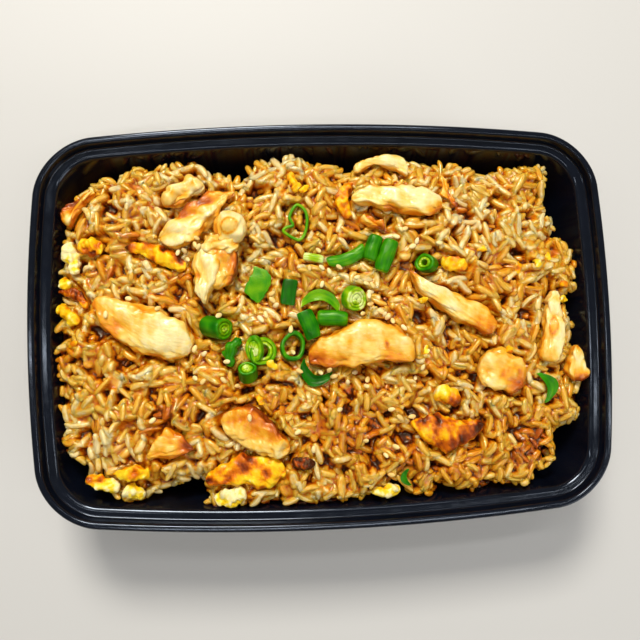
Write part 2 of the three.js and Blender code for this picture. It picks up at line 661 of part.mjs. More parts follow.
for (const [kind, pieces, shape] of [['onion', ONION_ROLLS, SMOOTH], ['chicken', CHICKEN, LARGE], ['egg', EGG, SMALL]]) {
  pieces.forEach((piece, seed) => addMorsel(`${kind}_${piece.name}`, COLOURS[kind], piece, { ...shape, seed }));
}

const part = new THREE.Group();
part.add(makeMesh('tray', makeTray(), COLOURS.tray));

// Each topping gives way to those above it, and the rice gives way to all of them
const cavity = makeCavity();
const { core, top } = makeRiceCore(cavity);
let rice = core;
let above = toppings[0].space;
toppings.forEach((topping, i) => {
  const solid = topping.solid.intersect(cavity);
  part.add(makeMesh(topping.name, i ? solid.subtract(above) : solid, topping.colour));
  rice = rice.subtract(topping.hollow);
  above = above.add(topping.space);
});
rice = fuseScattered(rice, top, GRAIN, above, 11);
rice = fuseScattered(rice, top, SEED, above, 23);
part.add(makeMesh('rice', rice, COLOURS.rice));

export default part;
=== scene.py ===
# %% [markdown]
# # Chicken fried rice in a black takeaway tray
# The measured model already fixes how big everything is and where it lies. This lesson
# dresses it: a glossy moulded tray, a heap of several thousand separate grains, and the
# chicken, fried egg, spring onion and sesame that lie on top. Every surface is worked out
# with whole arrays of numbers, so a shape can be read as a formula and changed by its names.

# %% Load the measured parts
import math
from types import SimpleNamespace

import bpy
import numpy as np
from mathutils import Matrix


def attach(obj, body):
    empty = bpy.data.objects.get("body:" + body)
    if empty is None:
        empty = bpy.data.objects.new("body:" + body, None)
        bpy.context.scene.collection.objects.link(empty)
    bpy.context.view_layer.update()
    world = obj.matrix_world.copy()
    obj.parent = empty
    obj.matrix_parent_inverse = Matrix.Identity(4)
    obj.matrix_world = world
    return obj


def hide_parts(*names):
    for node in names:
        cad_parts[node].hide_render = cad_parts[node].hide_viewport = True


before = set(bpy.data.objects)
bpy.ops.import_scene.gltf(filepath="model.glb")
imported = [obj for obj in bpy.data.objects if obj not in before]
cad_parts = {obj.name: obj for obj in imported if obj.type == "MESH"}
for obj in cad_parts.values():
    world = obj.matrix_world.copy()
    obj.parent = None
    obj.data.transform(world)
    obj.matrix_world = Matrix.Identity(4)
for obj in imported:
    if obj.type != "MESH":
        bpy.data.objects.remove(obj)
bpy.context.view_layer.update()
scene = bpy.context.scene
print("measured parts:", len(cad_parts))

# %% [markdown]
# ## The camera and the light
# The picture looks almost straight down from about 23 cm above the rim, leaning a few
# degrees. A camera turned by three small angles repeats that view. Food looks best in soft
# light from the far side, so a wide panel stands behind the tray and weaker ones fill the
# shadows. Long narrow panels near the table draw the bright lines along the tray's ledge.

# %% Camera
MM = 0.001
RIM_HEIGHT = 45.0
CAMERA_PLACE = (-15.972, -9.938, 233.788 + RIM_HEIGHT)
CAMERA_TURN = (0.05035, -0.05629, -0.0311)
LENS = 34.875

camera_data = bpy.data.cameras.new("camera")
camera_data.lens = LENS
camera_data.sensor_width = 36.0
camera_data.clip_start = 0.01
camera = bpy.data.objects.new("camera", camera_data)
camera.location = [value * MM for value in CAMERA_PLACE]
camera.rotation_euler = CAMERA_TURN
scene.collection.objects.link(camera)
scene.camera = camera
print("camera height above the rim:", round(CAMERA_PLACE[2] - RIM_HEIGHT), "mm")


# %% Lights
def add_panel(name, place, target, width, depth, power, colour=(1.0, 1.0, 1.0)):
    """A rectangular light of the given size in metres that faces its target."""
    data = bpy.data.lights.new(name, "AREA")
    data.shape = "RECTANGLE"
    data.size = width
    data.size_y = depth
    data.energy = power
    data.color = colour
    panel = bpy.data.objects.new(name, data)
    panel.location = place
    aim = np.array(target) - np.array(place)
    panel.rotation_euler = (
        math.atan2(math.hypot(aim[0], aim[1]), -aim[2]),
        0.0,
        math.atan2(aim[0], -aim[1]) + math.pi,
    )
    scene.collection.objects.link(panel)


FOOD = (0.0, 0.0, 0.04)
add_panel("key_panel", (-0.15, 0.7, 0.85), FOOD, 0.34, 0.26, 11.4, (1.0, 0.96, 0.88))
add_panel("fill_panel", (0.75, -0.6, 0.6), FOOD, 0.5, 0.5, 2.2, (0.96, 0.98, 1.0))
add_panel("near_strip", (0.05, -0.34, 1.0), FOOD, 0.8, 0.03, 1.4)
add_panel("left_strip", (-0.48, 0.0, 1.0), FOOD, 0.022, 0.5, 0.8)
add_panel("right_strip", (0.62, -0.15, 1.0), FOOD, 0.022, 0.5, 0.7)
add_panel("far_strip", (-0.05, 0.42, 1.0), FOOD, 0.7, 0.05, 1.5)

world = bpy.data.worlds.new("studio")
world.use_nodes = True
world.node_tree.nodes["Background"].inputs["Color"].default_value = (1.0, 0.97, 0.91, 1.0)
world.node_tree.nodes["Background"].inputs["Strength"].default_value = 0.19
scene.world = world
scene.view_settings.view_transform = "Standard"
print("lights:", len(bpy.data.lights))

# %% [markdown]
# ## From arrays to meshes
# A closed skin is a stack of loops with one point at each end. The faces between the loops
# only depend on how many loops and how many points there are, so one function serves the
# tray, the heap, each grain and each topping. A second function skins a ring, which closes
# on itself both ways and needs no ends.

# %% Faces of a skin and of a ring
def skin_faces(loops, sides):
    """Faces over `loops` rows of `sides` points, with one end point stored before them and one after."""
    row, side = np.meshgrid(np.arange(loops - 1), np.arange(sides), indexing="ij")
    following = (side + 1) % sides
    near, far = 1 + row * sides, 1 + (row + 1) * sides
    quads = np.stack([near + side, near + following, far + following, far + side], -1).reshape(-1, 4)
    side, following, last = side[0], following[0], loops * sides + 1
    first_cap = np.stack([0 * side, 1 + following, 1 + side], -1)
    last_cap = np.stack([0 * side + last, last - sides + side, last - sides + following], -1)
    return quads, np.concatenate([first_cap, last_cap])


def ring_faces(around, sides):
    """Face numbers of a grid that closes on itself both ways."""
    i, j = np.meshgrid(np.arange(around), np.arange(sides), indexing="ij")
    i_next, j_next = (i + 1) % around, (j + 1) % sides
    quads = np.stack([i * sides + j, i_next * sides + j, i_next * sides + j_next, i * sides + j_next], -1)
    return quads.reshape(-1, 4), np.zeros((0, 3), int)


def repeated(faces, copies, size):
    """The faces of one body, once for each of several copies that have `size` points each."""
    step = np.arange(copies)[:, None, None] * size
    return tuple((part[None] + step).reshape(-1, part.shape[1]) for part in faces)


def outward(points, faces):
    """Turns all faces round if the volume they enclose, the sum of a . (b x c) / 6, is negative."""
    corners = np.concatenate([faces[0][:, [0, 1, 2]], faces[0][:, [0, 2, 3]], faces[1]])
    a, b, c = (points[corners[:, k]] for k in range(3))
    turned = np.einsum("ij,ij->", a, np.cross(b, c)) < 0
    return tuple(part[:, ::-1] for part in faces) if turned else faces


print("faces of a grain with 7 loops of 6 points:", sum(map(len, skin_faces(7, 6))))


# %% Mesh objects that stand for measured parts
def add_piece(name, points, faces, material, node, numbers=()):
    """Makes a smooth mesh object from millimetre points, dresses it and ties it to its measured part."""
    quads, triangles = outward(points, faces)
    mesh = bpy.data.meshes.new(name)
    mesh.vertices.add(len(points))
    mesh.vertices.foreach_set("co", (points * MM).astype(np.float32).ravel())
    corners = np.concatenate([quads.ravel(), triangles.ravel()]).astype(np.int32)
    counts = np.repeat([4, 3], [len(quads), len(triangles)])
    mesh.loops.add(len(corners))
    mesh.loops.foreach_set("vertex_index", corners)
    mesh.polygons.add(len(counts))
    mesh.polygons.foreach_set("loop_start", (np.cumsum(counts) - counts).astype(np.int32))
    mesh.update(calc_edges=True)
    mesh.validate()
    mesh.shade_smooth()
    for key, values in dict(numbers).items():
        layer = mesh.attributes.new(key, "FLOAT", "POINT")
        layer.data.foreach_set("value", np.asarray(values, np.float32).ravel())
    mesh.materials.append(material)
    piece = bpy.data.objects.new(name, mesh)
    scene.collection.objects.link(piece)
    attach(piece, "root")
    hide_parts(node)
    print("made", name, "with", len(points), "points")


# %% A smooth random field
def ripples(points, wavelength, seed, waves=8):
    """Sum of sine waves in seeded random directions: a smooth bumpy field, mostly between -1 and 1."""
    random = np.random.default_rng(seed)
    directions = random.normal(size=(waves, 3))
    directions /= np.linalg.norm(directions, axis=1, keepdims=True)
    rates = 2 * np.pi / (wavelength * random.uniform(0.7, 1.5, waves))
    phases = random.uniform(0, 2 * np.pi, waves)
    angles = points @ (directions * rates[:, None]).T + phases
    return np.sin(angles).sum(-1) / math.sqrt(waves)


print("waves 9 mm long, at the middle:", round(float(ripples(np.zeros(3), 9.0, 1)), 2))


# %% [markdown]
# ## Materials
# Each finish is a Principled shader whose colour runs through a ramp. What drives the ramp
# is either fine noise on the piece's own coordinates or a number that the mesh carries at
# each point, such as how far a place was seared. Rice, chicken and egg let some light
# through, which Subsurface gives, and all of the food has a thin film of oil.

# %% Nodes and patterns
def new_material(name, **values):
    """A Principled material with the given socket values, returned with its node tree and shader."""
    material = bpy.data.materials.new(name)
    material.use_nodes = True
    shader = material.node_tree.nodes["Principled BSDF"]
    for key, value in values.items():
        shader.inputs[key.replace("_", " ")].default_value = value
    return material, material.node_tree, shader


def add_node(tree, kind, inputs=(), **settings):
    """A node with its settings. Each input gets its value, or a link if that is another node's output."""
    node = tree.nodes.new("ShaderNode" + kind)
    for key, value in settings.items():
        setattr(node, key, value)
    for key, value in dict(inputs).items():
        if isinstance(value, bpy.types.NodeSocket):
            tree.links.new(value, node.inputs[key])
        else:
            node.inputs[key].default_value = value
    return node


def noise(tree, size_mm, detail=3.0, stretch=(1.0, 1.0, 1.0)):
    """Noise whose blotches are about size_mm across, read on the piece's own coordinates."""
    place = add_node(tree, "TexCoord").outputs["Object"]
    place = add_node(tree, "Mapping", {"Vector": place, "Scale": stretch}).outputs["Vector"]
    scale = 1.0 / (size_mm * MM)
    return add_node(tree, "TexNoise", {"Vector": place, "Scale": scale, "Detail": detail}).outputs["Fac"]


def carried(tree, name):
    """A number that the mesh carries at its points."""
    return add_node(tree, "Attribute", attribute_name=name).outputs["Fac"]


def mixed(tree, first, second, share):
    """first + (second - 1/2) * share: a carried number roughened by noise."""
    centred = add_node(tree, "Math", {0: second, 1: share, 2: -0.5 * share}, operation="MULTIPLY_ADD")
    return add_node(tree, "Math", {0: first, 1: centred.outputs[0]}, operation="ADD").outputs[0]


# %% Colour, relief and a whole finish
def paint(tree, shader, factor, stops, socket="Base Color"):
    """Runs a number through a ramp of (position, red, green, blue) stops into a socket of the shader."""
    node = add_node(tree, "ValToRGB", {"Fac": factor})
    elements = node.color_ramp.elements
    while len(elements) < len(stops):
        elements.new(0.5)
    for element, (position, *colour) in zip(elements, stops):
        element.position = position
        element.color = (*colour, 1.0)
    tree.links.new(node.outputs["Color"], shader.inputs[socket])


def add_bump(tree, shader, height, depth_mm):
    """Fine relief of the given depth."""
    node = add_node(tree, "Bump", {"Height": height, "Strength": 1.0, "Distance": depth_mm * MM})
    tree.links.new(node.outputs["Normal"], shader.inputs["Normal"])


def food_finish(name, number, blotches, share, stops, relief=(), **values):
    """A carried number, roughened by a share of noise, runs through a ramp, over a relief of finer noise."""
    material, tree, shader = new_material(name, **values)
    paint(tree, shader, mixed(tree, carried(tree, number), noise(tree, *blotches), share), stops)
    if relief:
        *grain, depth = relief
        add_bump(tree, shader, noise(tree, *grain), depth)
    print("finish:", name)
    return material


# %% [markdown]
# ## The tray
# The tray is pressed from thin black plastic. From the photo its plan is four shallow arcs
# joined by round corners, and its section has a rolled bead, a step down to a flat ledge
# and a wall that leans in to a raised foot. Both could be modelled by hand with bevels, but
# a rounded section carried round the plan gives every fillet at once.

# %% The plan of the tray
HALF_LENGTH, HALF_WIDTH = 111.0, 77.2
LONG_SIDE_BOW, SHORT_SIDE_BOW = 917.0, 579.0
CORNER, INNER_CORNER = 19.8, 12.6
HALVINGS = 40


def turns(count):
    """Evenly spaced angles once round."""
    return 2 * np.pi * np.arange(count) / count


def inside_plan(x, y, inset=0.0, corner=CORNER):
    """Distance inside the loop `inset` from the outer edge: to the nearer arc, or the round corner."""
    from_long = LONG_SIDE_BOW - np.hypot(x, np.abs(y) - (HALF_WIDTH - LONG_SIDE_BOW)) - inset
    from_short = SHORT_SIDE_BOW - np.hypot(np.abs(x) - (HALF_LENGTH - SHORT_SIDE_BOW), y) - inset
    rounded = corner - np.hypot(corner - from_long, corner - from_short)
    in_corner = (from_long < corner) & (from_short < corner)
    return np.where(in_corner, rounded, np.minimum(from_long, from_short))


def plan_loop(inset, angles):
    """The point in each direction where the distance inside the inset loop is nought, found by halving."""
    corner = np.maximum(CORNER - inset, INNER_CORNER)
    low, high = np.zeros_like(angles), np.full_like(angles, 1.3 * HALF_LENGTH)
    for _ in range(HALVINGS):
        middle = (low + high) / 2
        within = inside_plan(middle * np.cos(angles), middle * np.sin(angles), inset, corner) > 0
        low, high = np.where(within, middle, low), np.where(within, high, middle)
    return np.stack([low * np.cos(angles), low * np.sin(angles)], -1)


AROUND = 480
ANGLES = turns(AROUND)
print("tray plan:", np.ptp(plan_loop(0, ANGLES), axis=0).round(1), "mm")

# %% The section of the tray
# Each corner: inset from the outer edge, height, and how far its rounding reaches
SECTION = [
    (32.8, 2.0, 1.0), (31.0, 1.2, 1.0), (21.5, 1.2, 2.5), (17.4, 2.2, 2.5), (15.0, 6.2, 4.0),
    (7.3, 40.9, 2.4), (3.7, 40.9, 0.8), (2.9, 44.4, 0.8), (2.3, 45.0, 0.8),
    (0.6, 45.0, 0.9), (0.0, 44.0, 0.9), (0.0, 40.0, 0.2), (0.9, 40.0, 0.2), (1.3, 43.9, 0.4),
    (1.9, 44.0, 0.4), (2.7, 40.2, 0.6), (6.2, 40.0, 0.8), (7.1, 38.2, 1.5), (14.1, 6.0, 4.0),
    (16.9, 1.2, 2.0), (21.1, 0.0, 1.5), (31.4, 0.0, 0.6), (33.0, 0.8, 0.6),
]


def rounded_section(corners, steps=6):
    """Replaces each corner by a parabola: (1-t)^2 before + 2t(1-t) corner + t^2 after."""
    table = np.array(corners)
    place, reach = table[:, :2], table[:, 2]
    before, after = np.roll(place, 1, 0) - place, np.roll(place, -1, 0) - place
    long_before, long_after = np.linalg.norm(before, axis=1), np.linalg.norm(after, axis=1)
    reach = np.minimum(reach, 0.48 * np.minimum(long_before, long_after))[:, None]
    start = place + before / long_before[:, None] * reach
    end = place + after / long_after[:, None] * reach
    t = np.linspace(0, 1, steps)[None, :, None]
    curve = (1 - t) ** 2 * start[:, None] + 2 * t * (1 - t) * place[:, None] + t ** 2 * end[:, None]
    return np.concatenate([place[:1], curve[1:-1].reshape(-1, 2), place[-1:]])


section = rounded_section(SECTION)
loops = np.stack([np.column_stack([plan_loop(i, ANGLES), np.full(AROUND, z)]) for i, z in section])
tray_points = np.concatenate([[[0, 0, section[0, 1]]], loops.reshape(-1, 3), [[0, 0, section[-1, 1]]]])
tray_faces = skin_faces(len(section), AROUND)
print("tray faces:", sum(map(len, tray_faces)))

# %% Black moulded plastic
tray_plastic, tree, shader = new_material("black_plastic", Roughness=0.14, Specular_IOR_Level=0.5,
                                          Specular_Tint=(0.74, 0.84, 1.0, 1.0))
smear = noise(tree, 9.0, 4.0, (1.0, 1.0, 0.4))
paint(tree, shader, smear, [(0.3, 0.0016, 0.0024, 0.0056), (0.75, 0.003, 0.0046, 0.01)])
paint(tree, shader, noise(tree, 5.0, 5.0), [(0.35, 0.09, 0.09, 0.09), (0.8, 0.2, 0.2, 0.2)], "Roughness")
add_bump(tree, shader, noise(tree, 0.5, 2.0), 0.01)
add_piece("tray_shell", tray_points, tray_faces, tray_plastic, "tray")

# %% [markdown]
# ## The heap
# Several thousand grains can't each be placed by hand, and a physics run would be slow and
# never twice the same. Instead a height map remembers how high the pile already is at each
# place. First it holds a low core, which stands for the rice too deep to be seen. The top of
# the heap rises from a shoulder beside the tray's wall, and how wide the bare gap is changes
# round the tray.

# %% The top of the heap
RICE_TOP, GAP_HEIGHT = 42.0, 35.0
WALL_INSET_AT_GAP, SHOULDER, SIDE_SLOPE = 8.4, 6.0, 1.7
EDGE_GAPS = np.array([
    2.4, -1.7, 4.9, 7.6, 2.8, 3.9, 2.1, 2.4, 4.7, 4.1, 1.5, 2.4,
    7.0, 0.9, 1.6, 4.8, 1.6, 1.8, -1.6, -1.9, -1.5, 4.6, 2.0, 6.7,
    -1.8, -1.4, -3.1, -2.9, 0.2, 1.2, 0.4, 0.8, 2.2, 6.8, -1.5, -2.2,
])


def eased(p):
    """p^2 (3 - 2p): from 0 to 1 with a soft start and a soft end."""
    return p * p * (3 - 2 * p)


def edge_gap(x, y):
    """Bare gap beside the rice, read every ten degrees and eased between."""
    turn = np.mod(np.arctan2(y, x) / (2 * np.pi), 1.0) * len(EDGE_GAPS)
    index = np.floor(turn).astype(int)
    ease = eased(turn - index)
    here, there = EDGE_GAPS[index % len(EDGE_GAPS)], EDGE_GAPS[(index + 1) % len(EDGE_GAPS)]
    return here * (1 - ease) + there * ease


def heap_top(x, y, gap=edge_gap):
    """Gap height, then top - (top - gap) e^(-inside / shoulder), with gentle clumps and a steep side."""
    x, y = np.asarray(x, float), np.asarray(y, float)
    inside = inside_plan(x, y) - WALL_INSET_AT_GAP - gap(x, y)
    clumps = 0.9 * np.sin(x / 9.3 + 1.7) * np.sin(y / 8.1 - 0.6) + 0.5 * np.sin(x / 4.9 - y / 6.3)
    rise = 1 - np.exp(-np.maximum(inside, 0) / SHOULDER)
    heaped = GAP_HEIGHT + (RICE_TOP - GAP_HEIGHT + clumps) * rise
    return np.where(inside < 0, GAP_HEIGHT + SIDE_SLOPE * inside, heaped)


WALL_INSETS, WALL_HEIGHTS = (6.9, 8.0, 15.0, 17.4, 21.5, 31.0, 32.8), (40.9, 38.6, 6.2, 2.6, 1.6, 1.6, 2.0)


def tray_inner(inset):
    """Height of the tray's inner face at an inset, straight between the corners of its section."""
    return np.interp(inset, WALL_INSETS, WALL_HEIGHTS)


# Bays in the rice's edge, and headlands with a minus sign: heading, half width in degrees, depth in mm
BAYS = [
    (4, 3, 5), (25, 6, 2.5), (34, 2.5, -5), (43, 3, 3.5), (80, 2, 4), (101, 3, -1.5), (121, 5, 2.5),
    (128, 2, -2.5), (143, 2.5, 3), (148, 2, 2.5), (155, 3, -3), (168, 4, -2), (210, 2.5, 3.5),
    (220, 2.5, -3), (228, 4, 3), (236, 3, -4), (292, 2, 4), (300, 2, -1.5), (305, 2, 2), (312, 3, -3.5),
    (320, 2.5, -4), (333, 4, 6), (355, 2, 4),
]
CORE_DROP, CORE_EDGE, CLEARANCE = 4.6, 1.2, 0.5


def seen_gap(x, y):
    """The bare gap with its bays: each adds depth x e^-((heading - its own) / half width)^2."""
    heading = np.degrees(np.arctan2(y, x))
    away = [(heading - place + 180) % 360 - 180 for place, _, _ in BAYS]
    return edge_gap(x, y) + sum(deep * np.exp(-(a / wide) ** 2) for a, (_, wide, deep) in zip(away, BAYS))


def heap_inside(x, y):
    """Distance inside the rice's visible edge."""
    return inside_plan(x, y) - WALL_INSET_AT_GAP - seen_gap(x, y)


def core_top(x, y):
    """The heap lowered by the depth of its outer grains; beside it, the tray's inner face."""
    bare = tray_inner(inside_plan(x, y)) + CLEARANCE
    lowered = np.maximum(heap_top(x, y, seen_gap) - CORE_DROP, bare)
    return np.where(heap_inside(x, y) > CORE_EDGE, lowered, bare)


print("heap top in the middle:", float(heap_top(0, 0).round(1)), "mm")

# %% [markdown]
# ## One function for pieces with a length
# A slab of chicken, a scrap of egg, a strip of leaf and a rolled tube all have a middle
# line and sections across it. So one function carries an oval section along a bent line.
# How wide it is on the left and on the right, how square the section is, how far its edges
# curl and how lumpy it is tell the kinds apart.

# %% Widths, squared sections and the middle line
def ease_between(values, share):
    """Reads evenly spaced values at a share from 0 to 1, with smooth steps between them."""
    values = np.asarray(values, float)
    place = np.clip(share, 0, 1) * (len(values) - 1)
    index = np.minimum(place.astype(int), len(values) - 2)
    ease = eased(place - index)
    return values[index] * (1 - ease) + values[index + 1] * ease


def squared(value, power):
    """A cosine or sine raised to a power below 1 with its sign kept, which squares a round section."""
    return np.sign(value) * np.abs(value) ** power


def middle_line(piece, t):
    """Start + (end - start) t, bent aside and up by 4 t (1 - t), on a seat that the heap gives both ends."""
    start, end = np.array(piece.start, float), np.array(piece.end, float)
    length = np.linalg.norm(end - start)
    along = (end - start) / length
    side = np.array([-along[1], along[0]])
    swell = 4 * t * (1 - t)
    place = start + (end - start) * t[:, None] + side * (piece.bow * swell)[:, None]
    seats = [float(heap_top(*(start + (end - start) * share))) for share in SEAT_SHARES]
    rest = 0.4 * piece.thick + 0.35 - piece.sink + piece.lift
    height = seats[0] + (seats[1] - seats[0]) * t + piece.arch * swell + rest
    return np.column_stack([place, height]), length, along, side


SEAT_SHARES, GROOVE_WIDTH, LOW_SIDE = (0.15, 0.85), 0.35, 0.8
print("halfway from 2 to 4, eased:", ease_between((2, 4), 0.5))


# %% A body carried along a bent line
def surface_relief(piece, places):
    """Bumps less grooves: ripples x depth, less depth (1 - |ripples| / groove width)^2. Each layer is drawn
    out along the piece and has waves of its own, seeded by the piece and their length."""
    total = np.zeros(places.shape[:2])
    for layers, groove in ((piece.relief, False), (piece.grooves, True)):
        for wavelength, depth, stretch in layers:
            field = ripples(places / (stretch, 1, 1), wavelength, piece.seed + round(wavelength * 10))
            if groove:
                field = -(1 - np.minimum(np.abs(field) / GROOVE_WIDTH, 1)) ** 2
            total += piece.rough * depth * field
    return total


def laid_body(piece, stations, sides):
    """Sections across the middle line. At share t and angle a, across = width cos a, up = thickness sin a,
    both raised to a power that squares the section, then the relief pushes each point from the line."""
    t = (1 - np.cos(np.pi * np.arange(stations + 1) / stations)) / 2
    line, length, along, side = middle_line(piece, t)
    warp = math.log(0.5) / math.log(piece.fullest)
    fullness = (1 - np.abs(2 * t ** warp - 1) ** piece.blunt).clip(0) ** (1 / piece.blunt)
    taper = 1 - piece.point * np.abs(2 * t - 1) ** 2.2
    half = piece.width / 2
    line_up = np.column_stack([t * length, 0 * t, 0 * t])
    left, right = (
        ease_between(widths or (half, half), t) * fullness * taper
        * (1 + piece.ragged * ripples(line_up, 7.0, piece.seed + number))
        for number, widths in enumerate((piece.left, piece.right), 1)
    )
    tall = piece.thick / 2 * (0.3 + 0.7 * fullness) * fullness ** 0.4
    a = turns(sides)
    across = squared(np.cos(a), piece.square)
    up = squared(np.sin(a), piece.square) * np.where(np.sin(a) < 0, LOW_SIDE, 1)
    wide = np.where(across > 0, left[:, None], right[:, None]) * across
    high = tall[:, None] * up + piece.curl * (wide / half) ** 2 * (fullness[:, None] > 0.05)
    roll = math.radians(piece.roll)
    sideways = wide * math.cos(roll) - high * math.sin(roll)
    upwards = wide * math.sin(roll) + high * math.cos(roll)
    flat = line[:, None, :2] + side * sideways[..., None]
    points = np.concatenate([flat, line[:, None, 2:] + upwards[..., None]], -1)
    away = points - line[:, None]
    away /= np.maximum(np.linalg.norm(away, axis=-1, keepdims=True), 0.2)
    places = np.stack([points[..., :2] @ along, points[..., :2] @ side, points[..., 2]], -1)
    relief = surface_relief(piece, places)
    points = points + away * (relief * fullness[:, None] ** 0.5)[..., None]
    known = dict(edge=np.abs(across), run=t[:, None], side=across, upper=up, along=(t * length)[:, None])
    known = {key: np.broadcast_to(value, relief.shape) for key, value in known.items()}
    return points, SimpleNamespace(relief=relief, over=wide + 0.7 * high, **known)


def close_ends(grid):
    """Turns a grid whose first and last rows are single places into loops with one point at each end."""
    ends = grid[0].mean(axis=0), grid[-1].mean(axis=0)
    return np.concatenate([ends[0][None], grid[1:-1].reshape(-1, *grid.shape[2:]), ends[1][None]])


# %% Pieces as named values, and their meshes
# sink and lift: how deep a piece lies, how far it is raised. bow and arch: how far its middle bends to the
# left or up. left and right: its half widths, read at even steps. fullest: the share along it where it is
# widest. marks from the pan: share along, place across from -1 right to 1 left, reach in mm, amount
USUAL = dict(
    sink=0, lift=0, arch=0, roll=0, curl=0, fullest=0.5, blunt=2.6, point=0, ragged=0, square=0.8, left=(),
    right=(), rough=1, relief=(), grooves=(), marks=(), base=0, disc=0, oval=1, lines=1, node="",
)
laid = []


def body(start, end, width, thick, bow=0, **own):
    """A piece's values: the ends of its middle line, its size, its bend and what isn't usual, in mm."""
    return SimpleNamespace(start=start, end=end, width=width, thick=thick, bow=bow, **(USUAL | own))


def lay_out(pieces, prefix, part, material, density, carried_values, seed, **kind):
    """Gives all pieces of a kind their common values, each its own seed, and makes their meshes."""
    for number, (name, piece) in enumerate(pieces.items()):
        vars(piece).update(kind, seed=seed + number)
        grid, facts = laid_body(piece, *density)
        values = {key: close_ends(value) for key, value in carried_values(piece, grid, facts).items()}
        faces, node = skin_faces(density[0] - 1, density[1]), piece.node or f"{part}_{name}"
        add_piece(f"{prefix}_{name}", close_ends(grid), faces, material, node, values)
        laid.append(grid)


print("values of a piece:", 5 + len(USUAL))

# %% [markdown]
# ## Chicken
# The photo shows sliced and torn breast meat: pale cream with soft fibres along it, golden
# to orange where the pan caught it. Each piece has its own middle line and its own widths
# to the left and right, read at even steps. The sear is a carried number: it grows towards
# one side, along the lower edge and in patches, and the ramp turns it from cream to brown.

